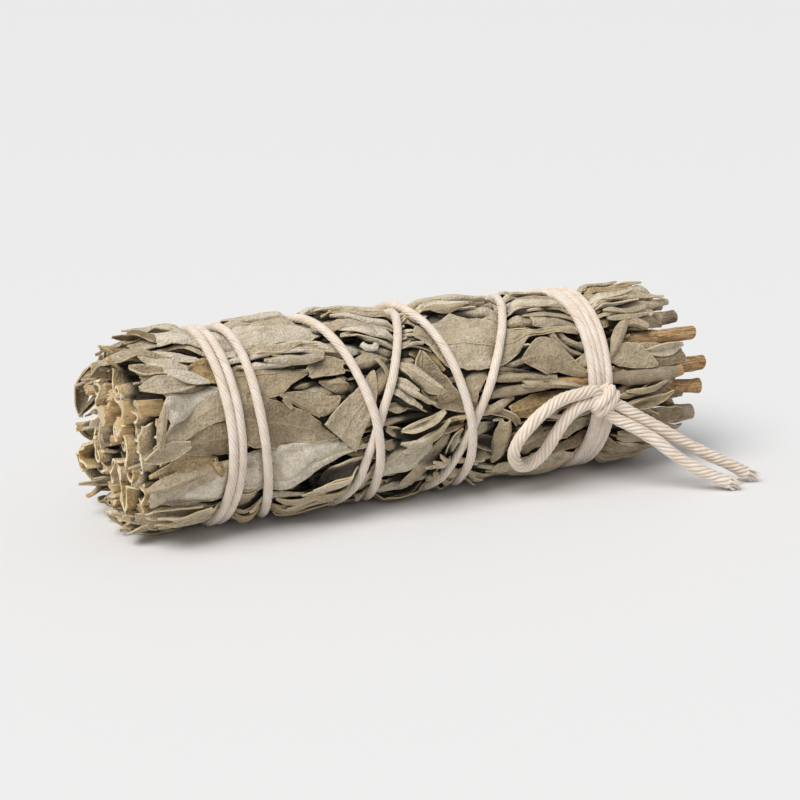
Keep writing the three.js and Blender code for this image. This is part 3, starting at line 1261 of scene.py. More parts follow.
@dataclass(frozen=True)
class NodePlace:
    """Where a leaf node of the frame lies on the bundle."""

    OUTLINE = ((-0.5, 0.2), (-0.3, 0.72), (0.0, 1.0), (0.25, 0.8), (0.42, 0.3), (0.5, 0.12))

    x: float
    degrees: float
    length: float
    width: float

    @classmethod
    def of(cls, node: str, form: Form) -> "NodePlace":
        """Measures a node.

        Args:
            node: The node's name.
            form: The bundle's form.

        Returns:
            Its place on the bundle.
        """
        x, degrees, _ = form.measure(np.array([v.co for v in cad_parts[node].data.vertices]))
        towards = np.radians(degrees)
        middle = math.degrees(math.atan2(np.sin(towards).mean(), np.cos(towards).mean()))
        arc = np.radians((degrees - middle + 180) % 360 - 180) * ARC_RADIUS
        return cls(float(x.min() + x.max()) / 2, middle, np.ptp(x), np.ptp(arc))

    def route(self, bend: float) -> Route:
        """Runs a leaf along the node, with its tip at the lower x.

        Args:
            bend: Degrees that its middle stands to one side of its ends.

        Returns:
            Its middle line.
        """
        return tuple(
            (self.x + part * self.length, self.degrees + bend * (1 - 4 * part**2), self.width * wide)
            for part, wide in self.OUTLINE
        )


F, E = Fold, Ends

# The leaves that show on the front, from the innermost out, each with its middle line as
# (x, degrees, width seen).
FRONT_LEAVES = (
    # Under the rest, at the tip end and the middle.
    Blade(((-44, 25, 2), (-40, 28, 6), (-37, 30, 8.5), (-34, 32, 9), (-30, 34, 6)), F.CURVED, tan=0.35),
    Blade(((-53, -47, 1), (-48, -48, 5), (-42, -49, 6.5), (-36, -49, 6.5), (-30, -51, 5), (-24, -56, 1)),
          F.CURVED, light=-0.1),
    Blade(((-52, -41, 0.5), (-48, -41, 2), (-44, -40, 2.4), (-40.5, -40, 1.6), (-38, -41, 0.5)), F.CREASED),
    Blade(((-49, -37, 1), (-46, -36.5, 2.4), (-43, -37, 2), (-40, -38, 0.6)), F.CURVED, light=0.2),
    Blade(((12, 0, 2), (17, 2, 3.6), (22, 3, 3.2), (27, 5, 2)), F.CURVED, light=-0.3, tan=0.75, ends=E.BOTH,
          lift=(0.3, 0.3)),
    Blade(((11, -46, 3), (16, -48, 6.5), (22, -50, 7), (30, -50, 6)), F.FLAT, light=0.2, ends=E.START),
    Blade(((14, -30, 2), (18, -28, 4.5), (22, -24, 4.6), (27, -20, 3.4), (33, -20, 1.5)), F.CURVED,
          node="outer_leaf_14"),
    Blade(((6, -20, 2), (10, -24, 3), (14, -22, 3), (19, -14, 2.5)), F.HOLLOW, light=-0.2),
    Blade(((4, -33, 2), (8, -34, 3), (12, -36, 1)), F.ROLLED, light=-0.1),
    Blade(((4.5, -13, 3.2), (7, -12, 3.2), (10, -9, 1.4)), F.FLAT, light=0.1, ends=E.START),
    # Bottom folds.
    Blade(((0.5, -9, 0.8), (-1, -18, 2.6), (-2.5, -28, 3.6), (-4.5, -40, 3.4), (-6, -55, 2)), F.CURVED,
          light=0.1),
    Blade(((3.5, -8, 0.5), (1.4, -14, 1.8), (1, -24, 2), (0.5, -35, 2.2), (-1, -50, 1)), F.GUTTER,
          light=0.2),
    Blade(((-26.5, -31, 0.5), (-27.2, -38, 2.6), (-26.6, -45, 1.6), (-26, -50, 0.4)), F.HOLLOW, light=0.1,
          ends=E.START),
    Blade(((-24, -28, 0.8), (-23.2, -37, 1.2), (-22.4, -50, 1.0)), F.CREASED, light=0.05),
    Blade(((-22.3, -38, 0.5), (-21, -30, 2.2), (-19.5, -25, 3.2), (-16.5, -21, 2.6), (-14, -19, 1)),
          F.HOLLOW, light=0.25),
    Blade(((-29, -27, 0.6), (-26.5, -26, 1.3), (-24, -24, 1.2), (-21.5, -22, 0.4)), F.CREASED, light=0.1),
    Blade(((-21, -47, 1.2), (-18, -40, 2.2), (-15, -32, 1.8), (-13, -26, 0.6)), F.GUTTER, light=0.05),
    Blade(((-16, -36, 0.6), (-19, -46, 1.8), (-21, -56, 1.4)), F.ROLLED),
    # The long lower leaf and what lies on it.
    Blade(((-49.5, -32, 0.6), (-46, -28.5, 2.6), (-42, -25, 4.6), (-38, -21.5, 7.6), (-33, -18.5, 8.6),
          (-28, -14.5, 7), (-23, -10, 5), (-19, -7, 3.4), (-15.5, -7.5, 0.6)), F.CURVED, light=0.4, rib=0.9,
          rib_side=-0.35, curl=0.3, flare=0.5, node="outer_leaf_7"),
    Blade(((-51.5, -28, 1.4), (-49, -20, 4.4), (-45, -15, 3.6), (-41, -10, 1.8), (-38, -7, 0.5)), F.CURVED,
          light=0.15, ends=E.START, lift=(0.8, 0), node="outer_leaf_8"),
    Blade(((-51.5, -11, 0.4), (-48, -7.5, 2.2), (-45.5, -2.5, 3.9), (-43, -4, 2.4), (-40.5, -6, 1)),
          F.CURVED, tan=0.75, light=0.1),
    Blade(((-47.3, 7, 1.4), (-44, 8, 4.4), (-41, 8.5, 5.4), (-38, 8, 5.4), (-35, 6, 3)), F.FLAT,
          light=-0.15, curl=0.3),
    Blade(((-41.6, -3, 0.8), (-40.7, -8, 1.0), (-40.2, -12, 0.5)), F.TUBE, tan=0.9),
    Blade(((-51, 7.5, 0.8), (-48, 13, 2.2), (-45, 19.5, 3.8), (-42, 25.5, 4.6), (-39, 28, 4.6),
          (-35, 27, 3)), F.FLAT, light=0.12, curl=0.3, lift=(1.5, 0), node="outer_leaf_10"),
    Blade(((-49, 32, 7), (-46.5, 33.5, 6), (-44, 35.5, 4), (-41.5, 37.5, 2.2), (-38, 38, 1)), F.CURVED,
          light=0.45, rib=0.9, rib_side=0.25, ends=E.START, lift=(1.8, 0), curl=0.3, node="outer_leaf_9"),
    Blade(((-50.2, 8, 0.8), (-49.8, 16, 1.4), (-49.3, 24, 1.2), (-48.7, 30, 0.5)), F.CREASED, light=0.05),
    # Over the tip end's shoulder.
    Blade(((-52, 62, 0.5), (-49.5, 58, 2.6), (-47, 56, 3.4), (-43.5, 55, 2)), F.CURVED, light=-0.25,
          tan=0.1, lift=(0.6, 0)),
    Blade(((-51, 50, 1.2), (-48.5, 47.5, 3.2), (-46, 45.5, 3.4), (-42.5, 45, 2)), F.CREASED, light=0.1,
          ends=E.START, lift=(0.6, 0)),
    Blade(((-52, 41, 0.6), (-49.5, 41.5, 2.4), (-46.5, 41.5, 2.6), (-43, 42, 1)), F.HOLLOW, light=0.2,
          tan=0.2, lift=(0.8, 0)),
    Blade(((-52.5, 55, 0.5), (-50.5, 52.5, 1.8), (-48, 51, 1.4), (-46, 50, 0.5)), F.GUTTER, light=0.0,
          lift=(0.9, 0)),
    Blade(((-52.5, 2, 0.5), (-50.5, 4, 2.4), (-48, 6, 2.8), (-45, 8, 1)), F.HOLLOW, light=0.1,
          lift=(0.6, 0)),
    Blade(((-52.5, -17, 0.5), (-50, -15, 2.2), (-47.5, -13, 2.4), (-44, -11, 1)), F.CREASED, light=0.0,
          lift=(0.6, 0)),
    Blade(((-52, -38, 0.5), (-49.5, -36, 2.2), (-46.5, -35, 2.4), (-43, -33, 1)), F.GUTTER, light=0.05,
          tan=0.2, lift=(0.4, 0)),
    Blade(((-52.5, 78, 0.5), (-50, 75, 2.2), (-47, 73, 2.6), (-43, 71, 1)), F.HOLLOW, light=0.1,
          lift=(0.5, 0)),
    Blade(((-47.6, 49.5, 0.5), (-45.2, 46.5, 1.8), (-42.7, 43.5, 1.8), (-40.5, 41.5, 0.5)), F.CURVED,
          light=0.4),
    Blade(((-44, 51, 0.5), (-42.3, 52, 2.6), (-40.5, 51, 4.2), (-38.3, 51, 4)), F.FLAT, tan=1.3, light=0.2,
          crumple=0.3),
    Blade(((-50.7, 68, 0.5), (-48.8, 61, 1.7), (-46.3, 54.5, 2.8), (-43.3, 51.5, 1.4)), F.CURVED,
          light=0.25, lift=(1.0, 0)),
    Blade(((-52, 73, 1), (-48.5, 73.5, 3.4), (-44.5, 70, 3), (-41.2, 65, 1.4), (-38.5, 63, 0.5)), F.CURVED,
          light=0.45, ends=E.START),
    Blade(((-50, 92, 1.5), (-47, 90, 3.6), (-43, 88, 4.2), (-38, 88, 3)), F.CURVED, light=0.1,
          ends=E.START),
    Blade(((-55, 183, 0.4), (-54.7, 173, 2.2), (-54.1, 161, 2.8), (-52.9, 150, 2.2), (-50.5, 143, 1)),
          F.CREASED, light=-0.2, lift=(1.2, 0)),
    Blade(((-53.8, 175, 0.4), (-53.4, 166, 1.8), (-52.6, 156, 2.2), (-50.5, 150, 1)), F.HOLLOW, light=0.1,
          lift=(1.0, 0)),
    Blade(((-57, 110, 0.4), (-55.6, 100, 1.8), (-53.8, 90, 2.6), (-52, 80, 2.4), (-50, 72, 1.6),
          (-47.5, 67, 0.5)), F.CREASED, light=-0.05, lift=(-1.6, 0), crumple=0.25),
    Blade(((-56.8, 78, 0.4), (-54.2, 74.5, 1.8), (-51.6, 70.5, 2.3), (-48.5, 67, 1.7), (-45, 64, 0.6)),
          F.CREASED, light=0.1, lift=(0.8, 0), crumple=0.25),
    Blade(((-49.6, 97, 1.2), (-47, 90, 1.8), (-44, 82, 1.8), (-41, 77, 0.8)), F.ROLLED, light=-0.4,
          ends=E.START, lift=(1.2, 0)),
    Blade(((-50, 103, 0.5), (-46, 104, 3), (-40, 104, 4)), F.CURVED, light=0.3, lift=(1.0, 0)),
    # Between the tip end's string and the first crossing.
    Blade(((-37, 42, 6), (-33, 40.5, 6.4), (-30, 40.5, 5.6), (-27, 42.5, 3.6), (-23.3, 43.5, 0.5)),
          F.CURVED, light=0.0, tan=0.4, rib=1.0, rib_side=0.35, curl=0.4, flare=0.4, node="outer_leaf_6"),
    Blade(((-26.4, 34, 0.5), (-24.3, 35.5, 1.2), (-22, 37.5, 0.6)), F.CREASED, tan=0.4),
    Blade(((-26.9, 56, 0.7), (-26.7, 51, 1.0), (-25.6, 46.5, 0.6)), F.TUBE, light=0.3, tan=0.4),
    Blade(((-25.6, 51, 1.5), (-23.5, 53, 2.6), (-21, 55, 2.4)), F.ROLLED, light=0.25, ends=E.START),
    Blade(((-37, 57.5, 1.6), (-33, 57, 2.0), (-29, 55.5, 0.5)), F.CURVED, light=0.4),
    Blade(((-28.3, 30.8, 0.5), (-25.3, 27.5, 2), (-22.7, 21.5, 4.4), (-20.7, 21, 3), (-18.7, 24.5, 0.4)),
          F.FLAT, light=-0.05, tan=0.2, curl=0.25, straight=True, node="leaf_fragment_3"),
    Blade(((-37, 20, 6), (-33.5, 15, 7.8), (-29.5, 12.5, 7), (-25.5, 7.5, 4.8), (-22.5, 3, 2.6),
          (-19.8, -1, 0.5)), F.FLAT, light=-0.17, rib=0.45, rib_side=0.0, curl=0.22, crumple=0.1, flare=0.3,
          node="outer_leaf_5"),
    Blade(((-29.3, 30.5, 0.4), (-27.3, 26, 0.9), (-25, 20, 0.9), (-23, 13.5, 0.4)), F.CREASED, light=-0.15),
    Blade(((-29.0, 27, 0.7), (-28.1, 24, 0.9), (-27.6, 20.5, 0.4)), F.CURVED, light=0.1, tan=0.5,
          lift=(0.4, 0)),
    Blade(((-23.3, 41.5, 1.6), (-21, 45, 3.4), (-19, 44.5, 3.2), (-17, 42.5, 1.8)), F.FLAT, tan=0.25,
          ends=E.BOTH, curl=0.25),
    Blade(((-21.6, 37, 0.5), (-19.5, 34.5, 2.2), (-18, 33, 3.6), (-16.8, 33, 2.4)), F.CREASED, tan=0.35,
          ends=E.END, curl=0.3),
    # Long strips under the ridge.
    Blade(((-37, 65, 2), (-30, 64.5, 2.6), (-25, 64, 2.4), (-20, 61.5, 4.2), (-15, 60, 3.2), (-10, 57, 2.2),
          (-5, 51.5, 0.8)), F.CURVED, light=0.5, curl=0.5),
    Blade(((-15.8, 43.5, 0.8), (-12.5, 44.5, 2.2), (-8.5, 43, 1.8), (-4.5, 41, 0.9)), F.ROLLED, light=0.1,
          tan=0.2),
    Blade(((-13.3, 50.5, 0.8), (-10, 50.5, 2.2), (-6, 48.5, 1.9), (-3, 46, 0.7)), F.ROLLED, light=0.25),
    Blade(((-13.2, 54, 0.9), (-12.6, 50.5, 0.9), (-11.2, 50.5, 0.8), (-10.7, 53.5, 0.7)), F.TUBE,
          light=0.5),
    Blade(((-18, 71.5, 1), (-14.5, 70.5, 2.8), (-11, 66.5, 2.4), (-8, 60.5, 1.6), (-6.3, 56, 0.7)),
          F.CURVED, light=0.4),
    Blade(((-12, 80, 1.6), (-9, 75, 2.4), (-6, 71.5, 2.4), (-2.5, 69, 1.4)), F.ROLLED, light=0.2, tan=0.3),
    Blade(((-17.5, 87, 1.6), (-14, 86.5, 4), (-10.5, 84, 3)), F.CURVED, light=0.2, tan=0.55, ends=E.BOTH),
    Blade(((-10, 67.5, 1.6), (-6.5, 63.5, 3), (-3.5, 60, 3.2), (-1, 57, 2)), F.CURVED, light=0.4,
          ends=E.END),
    # The fan of folded leaves.
    Blade(((-13.2, 22, 1.4), (-11.2, 30, 3.4), (-8, 37.5, 3), (-4.7, 40.5, 1.4)), F.CREASED, tan=0.3,
          light=-0.05, node="outer_leaf_3"),
    Blade(((-10.5, 13.5, 1), (-9, 12.5, 1.8), (-7.4, 11, 0.5)), F.CURVED, tan=0.3, ends=E.START),
    Blade(((-10.4, 21, 0.5), (-8.2, 18, 2.0), (-6, 12.5, 1.6), (-4, 8, 0.5)), F.CREASED, light=0.35),
    Blade(((-7.5, 31.5, 0.4), (-5.4, 26, 1.4), (-4.1, 17, 0.7)), F.GUTTER, light=0.05, tan=0.2),
    Blade(((-8.5, 31.5, 0.5), (-7.4, 24, 1.9), (-5, 14.5, 2.1), (-2.2, 6, 0.6)), F.GUTTER, light=0.3),
    Blade(((-12.5, 3.2, 0.7), (-8, 4, 1.5), (-4, 4.7, 1.2), (-1, 4.3, 0.5)), F.CREASED, light=0.1),
    Blade(((-11, -0.5, 0.8), (-9.3, -3.5, 1.8), (-7.3, -7, 1.2), (-6, -4.5, 0.5)), F.HOLLOW, light=0.25),
    Blade(((-12, -9.5, 0.5), (-10, -12, 2.2), (-8, -14, 1.6), (-6.5, -13, 0.5)), F.CURVED, light=0.1),
    Blade(((-2.4, -9.3, 0.5), (-4.3, -18, 3.2), (-8, -28.5, 4.8), (-12, -36, 4.8), (-17, -42, 3)), F.CURVED,
          light=0.32, tan=0.1, curl=0.3, flare=0.45, node="outer_leaf_4"),
    Blade(((-12.5, -25.5, 0.5), (-9.5, -19, 2), (-7, -11, 2.1), (-4, -3, 1.9), (-0.8, 3.8, 0.8)), F.CREASED,
          light=0.2, lean=-15),
    Blade(((-7, -11, 0.5), (-4, -7, 1.8), (-1, -4, 2.2), (2, -2.8, 2.4), (3.6, -3.5, 1.3)), F.HOLLOW,
          tan=0.75),
    # Round the big ribbed leaf.
    Blade(((-5, 46.5, 0.8), (-3, 43.5, 2.4), (-1, 38, 1.8), (0.7, 32.5, 0.6)), F.CURVED, tan=0.8,
          light=-0.1),
    Blade(((0.5, 32, 0.8), (3, 31.7, 2), (6, 30, 0.8)), F.CURVED, tan=0.6, light=-0.4),
    Blade(((22.8, 49, 0.9), (23.3, 42, 1), (25, 35, 1.1), (28.5, 31, 0.8)), F.TUBE, light=-0.05),
    Blade(((24.3, 48, 0.8), (25.6, 42, 1), (28.2, 37.5, 0.8)), F.TUBE, light=0.0),
    Blade(((25, 21.5, 0.5), (26.5, 24, 2), (29, 26.5, 3)), F.CURVED, tan=0.2),
    Blade(((-3, 45.5, 0.5), (-3.3, 36, 3.6), (-2.3, 26, 5.2), (-0.4, 17, 4.8), (2.5, 10, 3), (6, 5.5, 1.8),
          (10, 1, 1.3), (12.6, -3.5, 1.1), (13.8, -9, 0.8)), F.HOLLOW, light=-0.1, rib=0.7, rib_side=-0.15,
          curl=0.3, flare=0.3, node="outer_leaf_2"),
    Blade(((5.2, 10.5, 0.8), (5, 17.5, 2.4), (6.3, 24.5, 2.8), (9, 28, 1.5), (12, 27, 1.1), (15, 24, 1.1),
          (18, 20, 1.1), (21.5, 17.6, 1)), F.CURVED, light=0.0),
    Blade(((8, 23, 0.7), (12, 22, 1.2), (16, 20.3, 1), (19, 18, 0.6)), F.ROLLED, light=-0.1),
    Blade(((6.5, 1.5, 1.2), (10, 5.2, 1.7), (13.2, 8.7, 0.7)), F.CREASED, light=0.05),
    Blade(((11.3, -4, 2.4), (11.4, -13, 3.6), (11.3, -26, 2.8), (11, -41, 0.4)), F.CREASED, light=0.0,
          tan=0.2, ends=E.START),
    # Ridge, stem end side.
    Blade(((14.5, 58.5, 0.8), (17, 54.5, 1.0), (19.3, 51, 0.5)), F.GUTTER, tan=0.4),
    Blade(((13.5, 62, 0.8), (18, 59.5, 2.2), (23, 58.5, 3), (29, 56.5, 2.6)), F.ROLLED, light=0.1),
    Blade(((20, 57, 1.4), (24, 55.5, 3.2), (29, 53.5, 3)), F.CURVED, light=0.1, ends=E.START),
    Blade(((0.3, 72, 0.7), (3, 78, 3), (6, 86, 3.2), (9, 95, 1)), F.CURVED, light=0.45),
    Blade(((9, 66, 0.5), (12, 69, 2.4), (14, 64, 1.8), (15, 60, 0.7)), F.HOLLOW, light=0.3),
    Blade(((4, 76, 0.7), (8, 75, 1.8), (13, 73, 2.2), (17, 70, 1)), F.ROLLED, light=0.3),
    Blade(((15.5, 79, 1.4), (18, 74.5, 3.2), (21, 67.5, 2.2), (23, 63, 0.8)), F.ROLLED, light=0.35),
    Blade(((-9.5, 92, 3), (-5, 89, 7), (0, 86.5, 6), (4.5, 88, 2)), F.CURVED, light=0.5, ends=E.START),
    Blade(((-46, 84.5, 3), (-40, 84, 6.6), (-32, 84, 7.4), (-25, 84.5, 7.6), (-19, 83, 6), (-16, 80, 1.5)),
          F.CURVED, light=0.4, curl=0.6, node="outer_leaf_11"),
    Blade(((16.5, 89, 2), (20, 86, 6), (25, 82, 8), (30, 80, 8), (35, 82, 6.5)), F.CURVED, light=0.45,
          ends=E.BOTH),
)

# The leaves between the stems' cut ends, laid when the stems are in place.
STEM_END_LEAVES = (
    Blade(((33, 84, 6), (37, 84, 6.6), (41, 86, 4.4), (45, 90, 2)), F.CURVED, light=0.35, ends=E.BOTH),
    Blade(((41, 77, 2), (45, 82, 4.2), (49.5, 87, 3.8), (53.5, 92, 1.4)), F.ROLLED, light=0.2, tan=0.15),
    Blade(((34.3, 61, 1.1), (37, 67.5, 1.4), (40, 76, 1.4), (43, 84, 1.3)), F.TUBE, light=0.0, tan=0.2),
    Blade(((37.5, 72, 1.6), (42, 71.5, 2.6), (46, 70, 2.6), (50, 71, 1.7), (52.5, 73, 0.8)), F.ROLLED,
          light=0.15),
    Blade(((36.5, 65, 1.2), (42, 66, 2.2), (46, 66, 2.2), (49.5, 67, 1)), F.ROLLED, light=0.1, tan=0.3),
    Blade(((38.3, 61, 1), (41, 57.5, 2.4), (44, 57, 2.6), (46.9, 59.5, 0.9)), F.HOLLOW, light=0.3),
    Blade(((36, 51, 2), (41, 50, 3.4), (45, 50.5, 3), (48, 50, 1)), F.CURVED, light=-0.35),
    Blade(((34.3, 54, 2.6), (37, 54.5, 2.6), (39.7, 52, 0.7)), F.CURVED, tan=0.7),
    Blade(((37.5, 48, 0.7), (40.3, 47, 1.1), (42.7, 43, 0.8)), F.TUBE, light=0.05),
    Blade(((36.5, 31, 0.8), (41, 31.8, 1.3), (44, 31.2, 1.4), (48, 31.5, 1.3), (51, 30, 0.6)), F.ROLLED,
          light=0.1),
    Blade(((40.5, 22.5, 1.4), (45, 23, 3.2), (50, 22, 2.6)), F.CURVED, light=-0.3, ends=E.END),
    Blade(((41.3, 27.5, 0.6), (44, 26.7, 1.8), (47, 27, 2), (50.5, 30.5, 0.7)), F.HOLLOW, light=0.3),
    Blade(((33.5, 27, 1.4), (36, 27, 4), (39, 25, 4.2), (41.5, 20.5, 2.6), (43.2, 17.5, 0.5)), F.FLAT,
          light=0.05, curl=0.3, node="outer_leaf_12"),
    Blade(((33.7, 26.5, 0.4), (35, 34, 1.9), (36.8, 43, 2.1), (39.3, 52, 0.4)), F.CREASED, light=0.1),
    Blade(((33.5, -3, 3.6), (37, -2.2, 4.2), (40, -2, 3.6), (42.3, -1, 1.4)), F.FLAT, light=-0.05,
          node="outer_leaf_13"),
    Blade(((41.8, -12, 1.2), (46, -11, 2.2), (50.7, -9.5, 1.5)), F.CREASED, light=-0.35, tan=0.2),
    Blade(((42, -17, 1), (46, -15.5, 2), (48.8, -14, 1)), F.HOLLOW, light=-0.2, tan=0.2),
    Blade(((39.8, -17, 0.9), (43, -8.5, 1.1), (46.3, 0.5, 1.2), (48.7, 6, 1)), F.TUBE, light=0.0),
    Blade(((40.8, -12.5, 0.8), (43, -5.5, 1), (45.2, 3, 0.8)), F.TUBE, light=0.05),
    Blade(((33, -24, 2), (38, -26, 3.4), (43, -29, 3), (46, -31, 1)), F.CURVED, light=-0.1, ends=E.START),
    Blade(((37, -21, 2), (42, -22, 3.6), (47, -23, 3.2), (50.5, -24, 0.8)), F.CURVED, light=-0.4),
    Blade(((38, -14, 2), (43, -18, 3.2), (47.5, -19, 2.6), (50, -20, 0.8)), F.HOLLOW, light=-0.3, tan=0.2),
    Blade(((33, -38, 3), (38, -40, 4), (43, -42, 3), (47, -42, 1)), F.CREASED, light=-0.1, tan=0.3,
          ends=E.START),
    Blade(((34, -54, 4), (39, -55, 4.5), (45, -55, 3), (49, -54, 1)), F.CURVED, light=0.0, ends=E.START),
    Blade(((35, -12, 2), (39, -13.5, 2.6), (43, -18, 1.6)), F.GUTTER, light=-0.1),
)


@dataclass(frozen=True)
class Strips:
    """A group of narrow dried strips that lie side by side."""

    count: int
    span: Span  # the lowest and highest x of their middles
    around: Span  # the lowest and highest degrees of their middles
    length: Span
    slope: float  # degrees that they rise in a millimetre along the bundle
    light: float = 0.1


FRONT_STRIPS = (
    Strips(16, (-14, -5), (53, 90), (8, 14), -1.3, 0.3),
    Strips(7, (-31, -24), (47, 63), (9, 15), -0.2, 0.3),
    Strips(9, (2, 13), (78, 93), (9, 16), -0.6, 0.3),
    Strips(12, (20, 28), (57, 88), (8, 15), -0.4, 0.3),
    Strips(16, (-33, -20), (-56, -26), (7, 12), 0.7, 0.1),
    Strips(5, (-10, -3), (-12, 6), (6, 10), 1.0, 0.15),
    Strips(7, (-9, -4), (18, 34), (5, 8), -3.2, 0.25),
    Strips(10, (0, 9), (-56, -24), (8, 12), -1.0, 0.1),
    Strips(12, (36, 44), (52, 92), (8, 14), 0.2, 0.2),
    Strips(7, (37, 43), (-8, 6), (8, 12), 0.4, -0.1),
    Strips(10, (36, 42), (-56, -26), (8, 14), -0.3, 0.0),
    Strips(6, (-47, -42), (-50, -33), (7, 10), 0.3, 0.1),
)

# What lies on top of everything: the big ribbed leaf and torn pieces.
TOP_LEAVES = (
    Blade(((28.8, 48, 0.9), (22, 48.6, 1), (18, 48.6, 1.2), (14.5, 46, 5.6), (10.5, 46.8, 9.4),
          (6, 50.5, 11.4), (1.8, 54, 9.6), (-1.2, 56.5, 5.2), (-3.4, 55.5, 0.5)), F.FLAT, light=0.14,
          rib=1.0, rib_side=0.12, curl=0.35, flare=0.4, lift=(0.2, 0.2), node="outer_leaf_1"),
    Blade(((15.3, 31.5, 0.5), (17.5, 32.5, 3.8), (20, 32.5, 6), (22.5, 29, 4.5), (24.2, 24, 3),
          (26, 20, 1.6), (29, 17.5, 1)), F.FLAT, light=-0.05, tan=0.15, curl=0.25, node="leaf_fragment_1"),
    Blade(((-20.0, -0.6, 7.4), (-17.5, 9.6, 6.3), (-15.0, 19.5, 4.9), (-12.4, 37.5, 0.4)), F.FLAT,
          light=0.15, tan=0.3, rib=0.5, curl=0.15, crumple=0.1, flare=0.3, ragged=0.03, straight=True,
          lift=(0.5, 0.5), node="leaf_fragment_2"),
    Blade(((22, -37, 0.6), (25, -34.5, 2.2), (29, -32.5, 3.0), (33, -33.5, 2.4), (36.5, -37, 0.8)),
          F.CREASED, light=-0.35, tan=0.1),
)


@dataclass(frozen=True)
class Group:
    """Leaves of the usual kinds that are laid where the bundle is thinnest."""

    piece: str  # the start of the names of the pieces that they join
    count: int
    span: Span  # the lowest and highest x of their middles
    around: Span  # the lowest and highest degrees of their middles
    length: Span
    narrow: bool = False  # whether they are all folded or rolled
    fine: float = 1.0


INNER_SPRIGS = Group("inner_sprigs", 80, (-40, 31), (0, 360), (22, 40), fine=0.48)
OUTER_SPRIGS = (
    Group("front_sprigs", 120, (-40, 29), (-57, 94), (12, 30), True, 0.85),
    Group("under_sprigs", 150, (-40, 33), (92, 308), (14, 34), True, 0.72),
    Group("outer_sprigs", 110, (-41, 33), (95, 308), (14, 34), fine=0.85),
    Group("stem_end_sprigs", 40, (38, 44), (90, 325), (10, 18)),
    Group("tip_sprigs", 10, (-47, -44), (98, 148), (8, 12)),
    Group("tip_sprigs", 24, (-50.5, -47), (148, 305), (8, 13)),
)


